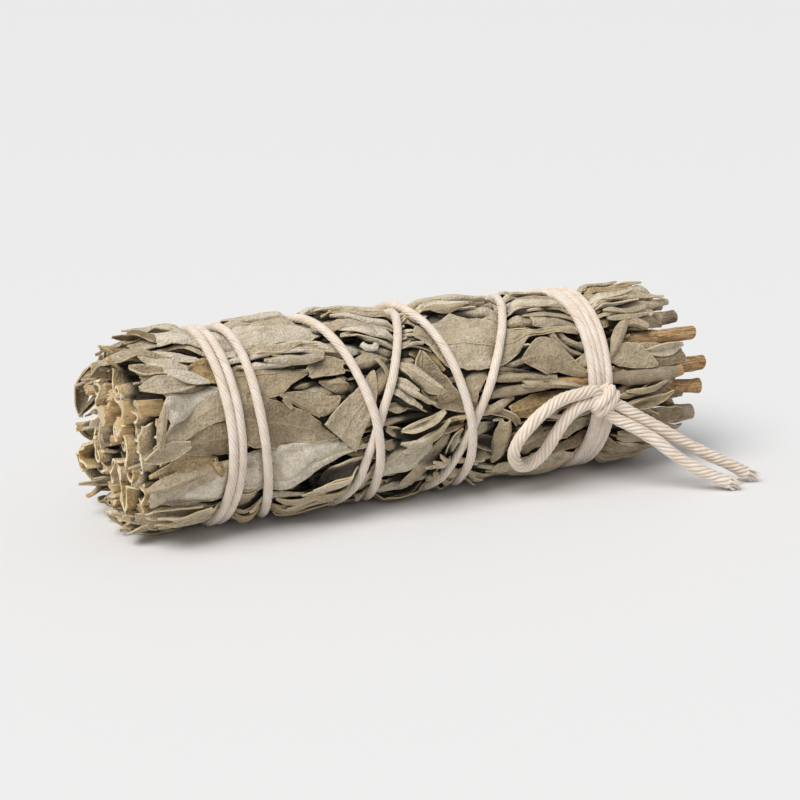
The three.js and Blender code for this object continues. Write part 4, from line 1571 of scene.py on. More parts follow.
@dataclass
class Foliage:
    """All the leaves of the bundle, laid from the inside out."""

    USUAL_OUTLINE = (
        (-0.5, 0.06), (-0.38, 0.5), (-0.18, 0.9), (0.0, 1.0), (0.18, 0.85), (0.36, 0.55), (0.5, 0.1),
    )  # fmt: skip
    STRIP_OUTLINE = ((-1, 0.3), (-0.6, 0.9), (-0.1, 1.0), (0.45, 0.8), (1, 0.3))
    STRIP_KINDS = (F.GUTTER, F.CREASED, F.GUTTER, F.CREASED, F.ROLLED, F.HOLLOW)
    NARROW_KINDS = (
        F.CURVED, F.ROLLED, F.ROLLED, F.CREASED, F.CREASED, F.HOLLOW, F.GUTTER, F.GUTTER, F.TUBE,
    )  # fmt: skip
    WIDEST = {F.FLAT: 7.0, F.CURVED: 4.5, F.TUBE: 1.1}
    OTHERS_WIDEST = 2.3
    TRIES = 16  # places that are compared for each leaf

    form: Form
    pack: Pack
    finish: Material
    stems: Sequence[np.ndarray]
    inner_top: float = 12.9  # how far out the inner layers come
    stem_end_shoulder: float = 0.6  # and how much less at the stem end
    tip_filling: float = 13.4
    pressed_from: float = 11.6
    under_string: float = 15.3
    bulge: float = 1.3
    rng: np.random.Generator = field(default_factory=lambda: np.random.default_rng(11))
    noise: Noise = field(default_factory=lambda: Noise(3, 97))
    laid: dict[str, list[LaidBlade]] = field(default_factory=dict)
    count: int = 0

    def lay(self, piece: str, blade: Blade) -> None:
        """Lays one leaf and notes which piece it belongs to.

        Args:
            piece: The piece's name, unless the leaf stands for a node.
            blade: The leaf.
        """
        self.count += 1
        piece = f"dried_{blade.node}" if blade.node else piece
        self.laid.setdefault(piece, []).append(blade.laid(self.pack, self.noise, self.count * 1.37))

    def _lay_nodes(self, kind: str, numbers: range, inset: float = 0.0, **looks: Any) -> None:
        """Lays a leaf as long and wide as each node of a kind.

        Args:
            kind: The start of the nodes' names.
            numbers: Their numbers.
            inset: How much shorter each leaf is, at each end.
            looks: What else the leaves have in common.
        """
        for i in numbers:
            node = f"{kind}_{i}"
            light = self.rng.uniform(-0.1, 0.3) if kind == "outer_leaf" else 0.0
            place = NodePlace.of(node, self.form)
            place = replace(place, x=place.x + inset, length=place.length - 2 * inset)
            self.lay("", Blade(place.route(self.rng.normal(0, 4)), node=node, light=light, **looks))

    def _scatter(self, group: Group) -> None:
        """Lays a group's leaves.

        Args:
            group: The group.
        """
        for _ in range(group.count):
            length = self.rng.uniform(*group.length)
            tries = np.stack([self.rng.uniform(*ends, self.TRIES) for ends in (group.span, group.around)])
            along = np.linspace(-0.4, 0.4, 7) * length
            heights = [self.pack.read(self.pack.top, x + along, d + 0 * along).mean() for x, d in tries.T]
            x, degrees = tries[:, int(np.argmin(heights))]
            blade = replace(self._any_leaf(x, degrees, length, group.narrow), fine=group.fine)
            self.lay(f"{group.piece}_{int(degrees % 360 // 90) + 1}", blade)

    def _any_leaf(self, x: float, degrees: float, length: float, narrow: bool) -> Blade:
        """Draws a leaf of one of the usual kinds.

        Args:
            x: How far along the bundle its middle is.
            degrees: How far around it.
            length: The leaf's length.
            narrow: Whether it has to be folded or rolled.

        Returns:
            The leaf.
        """
        rng = self.rng
        fold = pick(rng, self.NARROW_KINDS if narrow else (F.FLAT, F.FLAT, F.CURVED, *self.NARROW_KINDS))
        widest = self.WIDEST.get(fold, self.OTHERS_WIDEST) * rng.uniform(0.65, 1.2)
        widest = min(widest, rng.uniform(0.9, 2.2)) if narrow else widest
        turn, bend = rng.normal(0, 6), rng.normal(0, 3.5)
        parts, outline = np.array(self.USUAL_OUTLINE).T
        widths = widest * ((outline if fold is not F.TUBE else 1.0) * rng.uniform(0.7, 1.15, len(parts)))
        route = tuple(
            (x + p * length, degrees + turn * p * 2 + bend * (1 - 4 * p * p) + rng.normal(0, 1.0), width)
            for p, width in zip(parts, widths)
        )
        return Blade(
            route, fold, lean=rng.normal(0, 18), light=rng.normal(0.1, 0.33),
            tan=max(rng.normal(-0.05, 0.36), 0), rib=max(rng.normal(0.2, 0.4), 0),
            rib_side=rng.normal(0, 0.2), curl=rng.uniform(0.35, 0.8), ends=pick(rng, Ends), ragged=0.16,
            lift=(rng.uniform(0, 0.5), rng.uniform(0, 0.5)), straight=rng.random() < 0.5,
        )  # fmt: skip

    def _lay_strips(self, strips: Strips) -> None:
        """Lays a group of narrow strips side by side.

        Args:
            strips: The group.
        """
        rng = self.rng
        low, high = strips.around
        for i in range(strips.count):
            degrees = low + (high - low) * (i + rng.random()) / strips.count
            x = rng.uniform(*strips.span)
            half = rng.uniform(*strips.length) / 2
            width = rng.uniform(0.8, 1.7)
            bend = rng.normal(0, 2.5)
            route = tuple(
                (x + part * half, degrees + strips.slope * part * half + bend * (1 - part**2), width * wide)
                for part, wide in self.STRIP_OUTLINE
            )
            blade = Blade(
                route, pick(rng, self.STRIP_KINDS), lean=rng.normal(0, 25), ragged=0.16, flare=0.0,
                light=strips.light + rng.normal(0, 0.15), tan=max(rng.normal(0.05, 0.3), 0), curl=0.4,
                ends=pick(rng, Ends), lift=(rng.uniform(0, 0.5), rng.uniform(0, 0.5)),
            )  # fmt: skip
            self.lay("front_strips", blade)

    def _squeeze(self, base: float, target: np.ndarray, sigma: float) -> None:
        """Squeezes all that is laid so far.

        Args:
            base: The radius below which nothing moves.
            target: The radius wanted, all round the bundle.
            sigma: The size, in cells, of the humps that are pressed flat.
        """
        share = self.pack.squeeze(base, target, sigma)
        for laid in self.laid.values():
            for blade in laid:
                blade.squeeze(self.pack, base, share, target)

    def _lay_inside(self) -> None:
        """Lays the leaves that lie under the skin, and the stems and sprigs that the skin lies on."""
        pack = self.pack
        self._lay_nodes("inner_leaf", range(1, 4), 3.5, fold=F.CURVED, fine=0.6)
        self._lay_nodes("middle_leaf", range(1, 9), 3.5, fold=F.CURVED, fine=0.7)
        self._scatter(INNER_SPRIGS)
        shoulder = self.stem_end_shoulder * smooth_step(pack.x, 33, 37)
        self._squeeze(CORE_RADIUS, self.inner_top - shoulder + 0 * pack.degrees, 9)
        pack.raise_end(self.noise, self.tip_filling, -53, -40)
        for shell in self.stems:
            pack.lay(*self.form.measure(shell))

    def _lay_skin(self) -> None:
        """Lays the leaves that show."""
        self._lay_nodes("outer_leaf", range(15, 23), fold=F.CURVED, curl=0.8)
        self._lay_nodes("under_leaf", range(1, 3), fine=0.7)
        for group in OUTER_SPRIGS:
            self._scatter(group)
        for blade in (*FRONT_LEAVES, *STEM_END_LEAVES):
            self.lay(f"front_leaves_{int(blade.route[0][0] + 60) // 30 + 1}", blade)
        for strips in FRONT_STRIPS:
            self._lay_strips(strips)
        for blade in TOP_LEAVES:
            self.lay("front_leaves_top", blade)

    def build(self) -> None:
        """Lays every leaf, binds them and makes the pieces."""
        self._lay_inside()
        self._lay_skin()
        pack = self.pack
        near, limit = pack.string_field()
        waves = Noise(8)(pack.x / 4.5, pack.degrees / 17) * 0.35
        tip_splay = (0.1 + 1.1 * bell(pack.degrees - 95, 40)) * smooth_step(-pack.x, 42, 51)
        splay = -tip_splay - 0.6 * smooth_step(pack.x, 36, 50)
        self._squeeze(self.pressed_from, self.under_string + (self.bulge + waves) * (1 - near) + splay, 10)
        outside = pack.blurred(pack.top, 2.2) + 0.4
        for piece, laid in self.laid.items():
            for blade in laid:
                blade.pinch(pack, limit)
            surfaces = [blade.surface(self.form, pack, outside) for blade in laid]
            make_piece(piece, surfaces, self.finish, [b.blade.node for b in laid if b.blade.node])


# ---------------------------------------------------------------------------------------------
# Cut ends


class Curl(Enum):
    """How a leaf is curled up across, as it shows at its cut end."""

    SPIRAL = "spiral"
    SNAKE = "snake"
    HOOK = "hook"
    DOUBLED = "doubled"
    WAVED = "waved"

    def angles(self, part: np.ndarray) -> np.ndarray:
        """Curls a leaf up.

        Args:
            part: Parts of its width.

        Returns:
            The degrees that it has turned there.
        """
        return {
            Curl.SPIRAL: 640 * np.log((part + 0.12) / 0.12) / math.log(1.12 / 0.12),
            Curl.SNAKE: 135 * np.sin(2 * np.pi * 1.3 * part),
            Curl.HOOK: 290 * part**1.6,
            Curl.DOUBLED: 84 * np.tanh((part - 0.45) / 0.07),
            Curl.WAVED: 62 * np.sin(2 * np.pi * 2 * part),
        }[self]


@dataclass
class EndPiece:
    """Something that stands at an end of the bundle."""

    y: float
    z: float
    end: float  # the x of its outermost point

    def outward(self, splay: float, inside: np.ndarray) -> np.ndarray:
        """How much further out it leans at distances outside a place, as a part of its own distance."""
        return 1 + math.tan(math.radians(splay)) * inside / max(math.hypot(self.y, self.z), 0.1)


@dataclass
class Sprig(EndPiece):
    """A leaf that stands at an end of the bundle, with its cut end or its tip outermost."""

    HELD_WITHIN = 12.4  # millimetres from the middle line, further in than its end

    length: float
    width: float
    curl: Curl
    inward: float = 1.0  # 1 where the bundle lies towards higher x, -1 where it lies towards lower x
    spin: float = 0.0
    splay: float = 0.0
    pointed: bool = False
    light: float = 0.0
    tan: float = 0.0
    seed: float = 0.0
    columns: int = 23
    rows: int = 10
    thickness: float = 0.42

    def _cross_sections(
        self, part: np.ndarray, along: np.ndarray, noise: Noise
    ) -> tuple[np.ndarray, np.ndarray]:
        """Curls the leaf up.

        Args:
            part: Parts of its width.
            along: Parts of its length, from its outermost end.
            noise: Where it takes its bends from.

        Returns:
            How far across and how high its points are, one row for each place along it.
        """
        seed = self.seed
        angle = self.curl.angles(part) + 26 * noise(part * 4 + seed, seed) + 10 * noise(part * 9 + seed, seed)
        angle = np.radians(angle) + 0.5 * noise(along * 3 + seed, part * 2)
        step = self.width / (self.columns - 1)
        across, height = (np.cumsum(f(angle) * step, axis=1) for f in (np.cos, np.sin))
        across -= across.mean(axis=1)[:, None]
        height -= height.mean(axis=1)[:, None]
        size = 0.08 + 0.92 * smooth_step(along, -0.05, 0.75) ** 0.8 if self.pointed else 1.0
        turned = np.radians(self.spin + 20 * along)
        wide = across * np.cos(turned) - height * np.sin(turned)
        high = across * np.sin(turned) + height * np.cos(turned)
        return wide * size, high * size

    def surface(self, middle: Span, noise: Noise) -> Surface:
        """The leaf as a closed shape.

        Args:
            middle: The y and z of the bundle's middle line.
            noise: Where it takes its wrinkles from.

        Returns:
            The closed shape.
        """
        part = np.linspace(0, 1, self.columns)
        along = (np.linspace(0, 1, self.rows) ** 1.4)[:, None]
        wide, high = self._cross_sections(part, along, noise)
        outward = self.outward(self.splay, self.length * (1 - along) ** 1.5)
        y, z = self.y * outward + wide, self.z * outward + high
        reach = self.HELD_WITHIN + 2.9 * bell(along * self.length, 2.2)
        held = np.minimum(reach / np.maximum(np.hypot(y, z), 0.1), 1)
        y, z = middle[0] + y * held, np.maximum(middle[1] + z * held, GROUND_GAP + 0.2)
        ragged = 0.55 * noise(part * 6 + self.seed, self.seed) * (1 - along) ** 3
        x = self.end + self.inward * (self.length * along + ragged)
        wrinkle = 0.12 * noise(along * self.length / 1.2 + self.seed, part * 7)
        from_end = along * self.length + 0 * y
        from_side = np.minimum(part, 1 - part) * self.width
        edge = np.clip(1 - np.minimum(from_end, from_side) / 0.5, 0, 1)
        browned = self.tan + 0.4 * (1 - smooth_step(from_end, 0.2, 1.6))
        # the tone's third number is painted shade, darker further in from the leaf's outermost end
        tone = stacked(self.light, browned, smooth_step(from_end, 0.6, 3.0))
        place = stacked(from_end + 31 * (self.seed % 7), (part - 0.5) * self.width, edge)
        values = {"leaf_place": place, "leaf_tone": tone, "leaf_marks": 0 * tone}
        points = stacked(x, y + wrinkle, z + wrinkle) * MM
        if self.inward < 0:
            points = points[:, ::-1]
            values = {name: value[:, ::-1] for name, value in values.items()}
        return thicken(points, self.thickness * MM * np.ones_like(y), values)


@dataclass
class Stub(EndPiece):
    """A short piece of a woody stalk at the tip end, cut off square."""

    EVERYWHERE = (-999.0, 999.0)

    radius: float
    splay: float = 0.0
    seed: int = 0
    length: float = 9.0
    sides: int = 18
    steps: int = 14
    light: float = 0.35

    def surface(self, middle: Span) -> Surface:
        """Makes the stalk a closed shape.

        Args:
            middle: The y and z of the bundle's middle line.

        Returns:
            The closed shape.
        """
        noise = Noise(self.seed + 50)
        along = self.length * np.linspace(0, 1, self.steps)
        angle = circle(self.sides)
        ridges = 1 + 0.2 * noise(angle * 1.3, self.seed) + 0.09 * noise(along[:, None] / 5, angle * 4)
        radius = self.radius * ridges * (1 + 0.1 * np.exp(-along / 0.8)[:, None])
        outward = self.outward(self.splay, self.length - along)
        line = stacked(self.end + along, middle[0] + self.y * outward, middle[1] + self.z * outward)
        broken = 0.3 * np.cos(angle + self.seed) + 0.35 * noise(angle * 2.5, self.seed + 3)
        shell = rings_round(line, radius, angle, broken * np.exp(-along / 2)[:, None])
        shell[..., 2] = np.maximum(shell[..., 2], GROUND_GAP)
        return closed_stem(shell, line, self.EVERYWHERE, self.light, self.seed)


# The stalks and curled leaves that stand out at the tip end.
TIP_STALKS = (
    Stub(-8.4, 6.4, -53.8, 1.7, 4.0, 1, 6.0), Stub(-11.2, 7.4, -52.0, 1.3, 4.0, 2, 4.0),
    Stub(-1.8, 4.2, -55.4, 1.6, 2.0, 3), Stub(-5, 8.2, -54.6, 0.8, 3.0, 4), Stub(-4, 6, -54.9, 0.8, 3.0, 5),
    Stub(-3.5, 0.6, -54.6, 0.9, 1.0, 6), Stub(9.5, 5, -55.0, 0.9, 6.0, 7), Stub(0, -8, -54.2, 1.1, 4.0, 8),
    Stub(-9.4, -9.4, -52.0, 1.3, 4.0, 9, 5), Stub(3, -11, -53.2, 1.0, 6.0, 10),
    Stub(-6.4, 3.6, -54.2, 1.5, 2.0, 11), Stub(6, 9.5, -53.6, 1.1, 6.0, 12),
    Stub(13.4, -1.8, -56.0, 0.75, 6.0, 13),
)
TIP_CURLS = (
    Sprig(11.8, -6.5, -56.6, 9, 12, Curl.DOUBLED, spin=70, splay=8, light=-0.1, tan=0.4, seed=14.3,
          thickness=0.5),
    Sprig(9.2, -5.2, -56.2, 9, 11, Curl.DOUBLED, spin=95, splay=5, light=0.0, tan=0.6, seed=15.1,
          thickness=0.5),
    Sprig(7.5, -11, -56.5, 9, 7, Curl.HOOK, spin=190, splay=14, pointed=True, light=0.2, tan=0.7,
          seed=16.6),
    Sprig(-8, 0.5, -53.7, 9, 16, Curl.SPIRAL, spin=40, light=0.1, tan=0.3, seed=0.7),
    Sprig(-9, -3, -53.2, 9, 13, Curl.SNAKE, spin=110, light=0.05, tan=0.5, seed=1.9),
    Sprig(-6.6, 9.8, -54.0, 9, 13, Curl.SPIRAL, spin=200, light=0.35, tan=0.6, seed=2.3),
    Sprig(5.5, -1, -54.9, 9, 9, Curl.DOUBLED, spin=80, light=0.2, tan=0.6, seed=3.1, thickness=0.5),
    Sprig(3.6, -4.6, -54.5, 9, 10, Curl.DOUBLED, spin=65, light=0.15, tan=0.5, seed=4.4, thickness=0.5),
    Sprig(-10.6, -6.6, -52.2, 7, 10, Curl.HOOK, spin=150, light=0.1, tan=0.5, seed=5.2),
    Sprig(-11.4, 2.6, -52.2, 7, 11, Curl.HOOK, spin=250, light=0.1, tan=0.1, seed=6.8),
    Sprig(-11.7, -0.6, -52.0, 7, 11, Curl.HOOK, spin=230, light=0.2, tan=0.0, seed=7.7),
    Sprig(-11.6, -3.6, -52.0, 7, 10, Curl.SNAKE, spin=200, light=0.1, tan=0.2, seed=8.6),
    Sprig(-10.8, 4.8, -52.6, 7, 9, Curl.WAVED, spin=80, light=0.2, tan=0.2, seed=9.4),
    Sprig(-12.9, 1.2, -49.6, 6, 9, Curl.WAVED, spin=95, light=0.1, tan=0.1, seed=10.3),
    Sprig(-12.9, -2.2, -49.4, 6, 9, Curl.SNAKE, spin=85, light=0.0, tan=0.1, seed=11.8),
    Sprig(-12.5, 4.6, -49.8, 6, 8, Curl.HOOK, spin=70, light=0.15, tan=0.1, seed=12.4),
    Sprig(-11.9, -6.0, -49.8, 6, 9, Curl.WAVED, spin=120, light=0.1, tan=0.3, seed=13.9),
)


@dataclass
class CutEnds:
    """The leaves and stalks that fill the bundle's two ends."""

    GOLDEN_TURN = 137.508  # degrees from one spot to the next

    form: Form
    leaf: Material
    cut_leaf: Material
    straw: Material
    rng: np.random.Generator = field(default_factory=lambda: np.random.default_rng(23))
    noise: Noise = field(default_factory=lambda: Noise(17, 89))
    tip_end: float = -54.3
    tip_count: int = 62
    stem_end_count: int = 70
    room: float = 1.5  # round each stalk and curled leaf that is listed

    def _spots(self, count: int, radius: float) -> np.ndarray:
        """Spreads places evenly in a disc, and shakes them a little.

        Args:
            count: How many.
            radius: The disc's radius.

        Returns:
            The places.
        """
        number = np.arange(count)
        turn = np.radians(self.GOLDEN_TURN * number)
        spots = stacked(np.cos(turn), np.sin(turn)) * (radius * np.sqrt((number + 0.5) / count))[:, None]
        return spots + self.rng.normal(0, 0.45, spots.shape)

    def build(self) -> None:
        """Makes the sprigs and stalks of both ends."""
        middle = (self.form.middle_y, self.form.middle_z)
        sprigs, stubs = self._tip_end()
        make_piece("tip_end_sprigs", [s.surface(middle, self.noise) for s in sprigs], self.cut_leaf)
        make_piece("tip_end_stalks", [s.surface(middle) for s in stubs], self.straw)
        core = [s.surface(middle, self.noise) for s in self._stem_end()]
        make_piece("stem_end_core", core, self.leaf)
        for i in range(1, 5):
            node = f"rolled_leaf_{i}"
            low, high = (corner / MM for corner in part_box(node))
            sprig = Sprig(
                (low.y + high.y) / 2 - middle[0], (low.z + high.z) / 2 - middle[1], low.x, high.x - low.x, 17,
                Curl.SPIRAL, spin=97.0 * i, light=0.1, seed=3.3 * i, rows=26, columns=29,
            )  # fmt: skip
            make_piece(f"dried_{node}", [sprig.surface(middle, self.noise)], self.leaf, [node])

    def _tip_end(self) -> tuple[list[Sprig], list[Stub]]:
        """Draws what stands at the tip end.

        Returns:
            The leaves and the stalks.
        """
        rng = self.rng
        sprigs, stubs = [], []
        for i, (y, z) in enumerate(self._spots(self.tip_count, 14.6)):
            ring = math.hypot(y, z)
            z = max(z, -13.6)
            if min(math.hypot(y - other.y, z - other.z) for other in (*TIP_STALKS, *TIP_CURLS)) < self.room:
                continue
            end = self.tip_end + (ring / 15) ** 2 * 2.6 + rng.normal(-0.6 if rng.random() < 0.6 else 2.4, 0.6)
            if rng.random() < 0.2 and ring < 13:
                stubs.append(Stub(y, z, end, rng.uniform(0.8, 1.9), ring * 0.5, i))
                continue
            behind = y > 4 or z > 8
            pointed = ring > 10.0 and rng.random() < (0.85 if behind else 0.4)
            curl = Curl.HOOK if pointed and rng.random() < 0.6 else pick(rng, Curl)
            sprigs.append(
                Sprig(
                    y, z, end - (rng.uniform(0.5, 2.2) if pointed else 0), rng.uniform(8, 12),
                    rng.uniform(6, 9) if pointed else rng.uniform(8, 16), curl, spin=rng.uniform(0, 360),
                    splay=ring * rng.uniform(0.3, 1.1), pointed=pointed, light=rng.normal(0.25, 0.3),
                    tan=max(rng.normal(0.2, 0.3), 0), seed=i * 1.71,
                )
            )  # fmt: skip
        return [*sprigs, *TIP_CURLS], [*stubs, *TIP_STALKS]

    def _stem_end(self) -> list[Sprig]:
        """Draws what stands between the stems at their cut end.

        Returns:
            The leaves.
        """
        rng = self.rng
        sprigs = []
        for i, (y, z) in enumerate(self._spots(self.stem_end_count, 13.2)):
            end = rng.uniform(44, 51.5) - 2.5 * (math.hypot(y, z) / 13) ** 2
            sprigs.append(
                Sprig(
                    y, max(z, -13.2), end, rng.uniform(10, 14), rng.uniform(4, 8), pick(rng, Curl),
                    inward=-1.0, spin=rng.uniform(0, 360), pointed=rng.random() < 0.4,
                    light=rng.normal(-0.05, 0.2), tan=max(rng.normal(0.0, 0.3), 0), seed=i * 2.13 + 5,
                    columns=17, rows=8,
                )
            )  # fmt: skip
        return sprigs


# ---------------------------------------------------------------------------------------------
# String


@dataclass
class Twine:
    """Twisted cotton twine along a route."""

    yarns: int = 8
    yarn_points: int = 4
    lay_length: float = 9.0  # millimetres in which a yarn goes once round
    groove_shade: float = 0.85  # how much painted shade its grooves get, from 0 to 1
    groove: float = 0.09  # depth between yarns, as a part of the radius
    step: float = 0.63

    def tube(self, points: np.ndarray, radius: float, flare: float = 0.0) -> Surface:
        """The twine along a route.

        Args:
            points: The route, in metres.
            radius: The twine's radius, in millimetres.
            flare: How much wider the far end is, as a part of the radius.

        Returns:
            The closed shape.
        """
        lengths = travelled(points) / MM
        along = np.linspace(0, lengths[-1], int(lengths[-1] / self.step) + 1)
        path = resampled(points, lengths, along)
        forward = unit(np.gradient(path, axis=0))
        normals = self._carried_normals(forward)
        around = circle(self.yarns * self.yarn_points)
        wander = 0.45 * Noise(9)(along / 6, 0.0) + 0.15 * Noise(10)(along / 1.9, 0.0)
        angle = around + (wander - along / self.lay_length * 2 * np.pi)[:, None]
        wave = np.abs(np.sin(around * self.yarns / 2))
        uneven = 1 + 0.045 * Noise(5)(along[:, None] / 1.7, around * 1.3)
        uneven = uneven + 0.035 * Noise(6)(along / 3.5, 0.0)[:, None]
        wide = 1 + flare * smooth_step(along - lengths[-1], -2.5, 0.0)[:, None]
        size = radius * MM * (1 - self.groove + self.groove * wave**0.7 * 1.6) * uneven * wide
        sideways = np.cross(forward, normals)[:, None] * np.sin(angle)[..., None]
        ring = normals[:, None] * np.cos(angle)[..., None] + sideways
        # The third number is 1 on the yarns' crowns and lower in the grooves, where the finish paints shade.
        place = stacked(along[:, None], around * radius, 1 - (1 - wave) * self.groove_shade)
        return self._closed(path[:, None] + ring * size[..., None], place, path)

    def fray(self, points: np.ndarray, radius: float, strands: int, length: float) -> list[Surface]:
        """The loose strands at the end of a cut twine.

        Args:
            points: The route of the twine's last stretch, in metres.
            radius: The twine's radius, in millimetres.
            strands: How many there are.
            length: How far they reach past the route, in millimetres.

        Returns:
            A closed shape for each strand.
        """
        rng = np.random.default_rng(len(points))
        forward = unit(points[-1] - points[-4])
        side = np.cross(forward, (0.0, 0.0, 1.0))
        up = np.cross(side, forward)
        around = circle(6)
        ring = side * np.cos(around)[:, None] + up * np.sin(around)[:, None]
        made = []
        for i in range(strands):
            reach = radius * math.sqrt((i + 0.5) / strands)
            along = np.linspace(-2.5, length * rng.uniform(0.55, 1.0), 14)
            spread = 0.75 + rng.uniform(0.0, 0.9) * smooth_step(along, -1.5, length)
            turned = i * 2.4 - along / self.lay_length * 2 * np.pi * (1 - 0.6 * smooth_step(along, -1, 1))
            wave, loose = Noise(i + 60), 0.25 * (along > -1)
            out = np.cos(turned) * reach * spread + loose * wave(along / 1.4, 1.0)
            high = np.sin(turned) * reach * spread + loose * wave(along / 1.4, 5.0)
            thick = rng.uniform(0.17, 0.32) * (1 - 0.55 * smooth_step(along, 0, length))
            line = points[-1] + (forward * along[:, None] + side * out[:, None] + up * high[:, None]) * MM
            line[:, 2] = np.maximum(line[:, 2], (thick + 0.05) * MM)
            # The loose strands get no painted groove shade.
            place = stacked(along[:, None] + 9 * i, around * 0.3, 1.0)
            made.append(self._closed(line[:, None] + ring * (thick * MM)[:, None, None], place, line))
        return made

    @staticmethod
    def _carried_normals(forward: np.ndarray) -> np.ndarray:
        """Carries normals along a route, without turning about it.

        Args:
            forward: The route's direction at each of its points.

        Returns:
            The normals.
        """
        normals = [unit(np.cross(forward[0], (0.3, 0.2, 1.0)))]
        for direction in forward[1:]:
            normals.append(unit(normals[-1] - direction * np.dot(normals[-1], direction)))
        return np.array(normals)

    @staticmethod
    def _closed(shell: np.ndarray, place: np.ndarray, path: np.ndarray) -> Surface:
        """Closes a tube of rings with a point at each end.

        Args:
            shell: The rings.
            place: What the material reads, at each of their points.
            path: The tube's middle line.

        Returns:
            The closed shape.
        """
        points = np.concatenate([shell.reshape(-1, 3), path[:1], path[-1:]])
        values = np.concatenate([place.reshape(-1, 3), place[0, :1], place[-1, :1]])
        return Surface(points, tube_faces(*shell.shape[:2], turned=True), {"yarn_place": values})


@dataclass
class Binding:
    """The wound string, its knot and its bow."""

    form: Form
    winding: Winding
    finish: Material
    wound: Twine = field(default_factory=lambda: Twine(yarn_points=3))
    free: Twine = field(
        default_factory=lambda: Twine(yarns=7, yarn_points=5, step=0.35, groove_shade=1.0, groove=0.13)
    )
    free_radius: float = 1.05
    tail_flare: float = 0.1
    frayed: float = 1.6  # millimetres of a tail that are loose strands
    fray_reach: float = 2.6
    loose_strands: int = 20
    tucked_end: tuple[float, float, float] = (-2.0, 0.6, 1.2)  # where a tail starts, from the knot's middle
    knot_rings: Span = (-0.75, 0.75)  # how far each of the knot's turns is from its middle
    knot_size: Span = (2.3, 0.75)  # half the height and half the depth of a turn
    knot_string: float = 0.9

    def build(self) -> None:
        """Makes the string's pieces."""
        turned = np.linspace(0, self.winding.quarters, self.winding.quarters * 22)
        route = self._above_ground(self.form.place(*self.winding.route(turned)), STRING_RADIUS)
        self._piece("twine_winding", [self.wound.tube(route, STRING_RADIUS)], "binding_string")
        for name, line, end in (
            ("bow_loop", BOW_LOOP, "object"),
            ("tail_upper", TAIL_UPPER, "bare"),
            ("tail_lower", TAIL_LOWER, "bare"),
        ):
            self._free_cord(name, line, end)
        self._knot()

    def _piece(self, name: str, surfaces: Sequence[Surface], node: str) -> bpy.types.Object:
        """Makes a piece of string."""
        return make_piece(name, surfaces, self.finish, [node])

    @staticmethod
    def _above_ground(route: np.ndarray, radius: float) -> np.ndarray:
        """A route with every point high enough for the string to clear the ground."""
        return stacked(route[:, 0], route[:, 1], np.maximum(route[:, 2], (radius + 0.05) * MM))

    def _free_cord(self, name: str, line: Sequence[Sequence[float]], end: str) -> None:
        """Args:
            name: The name of its node.
            line: Its route, in metres from the middle line.
            end: What its far end is.
        """
        route = self.form.offset(line)
        centre = self.form.offset([KNOT_CENTRE])
        behind = centre + np.array([self.tucked_end]) * MM
        whole = np.concatenate([centre, route, centre] if end == "object" else [behind, centre, route])
        smooth = spline(whole, np.linspace(0, len(whole) - 1, 12 * len(whole)))
        smooth = self._above_ground(smooth, self.free_radius * 1.12)
        length = float(travelled(smooth)[-1])
        if end == "object":
            surfaces = [self.free.tube(smooth, self.free_radius)]
        else:
            twisted = smooth[: -int(len(smooth) * self.frayed * MM / length)]
            surfaces = [self.free.tube(twisted, self.free_radius, self.tail_flare)]
            surfaces += self.free.fray(twisted, self.free_radius * 0.95, self.loose_strands, self.fray_reach)
        piece = self._piece(f"twine_{name}", surfaces, name)
        2 * self.free_radius * MM  # fmt: skip

    def _knot(self) -> None:
        """Makes the knot: turns of string round the throat of the bow."""
        centre = self.form.offset([KNOT_CENTRE])[0]
        turn = np.array(Matrix.Rotation(math.radians(-KNOT_TURN), 3, "Y"))
        angle = np.linspace(0, 2 * np.pi, 60)
        height, depth = self.knot_size
        surfaces = []
        for shift in self.knot_rings:
            ring = stacked(height * np.cos(angle), depth * np.sin(angle), shift + 0.2 * np.sin(angle)) * MM
            surfaces.append(self.free.tube(ring @ turn.T + centre, self.knot_string))
        self._piece("twine_knot", surfaces, "string_knot")


# ---------------------------------------------------------------------------------------------
# Stems


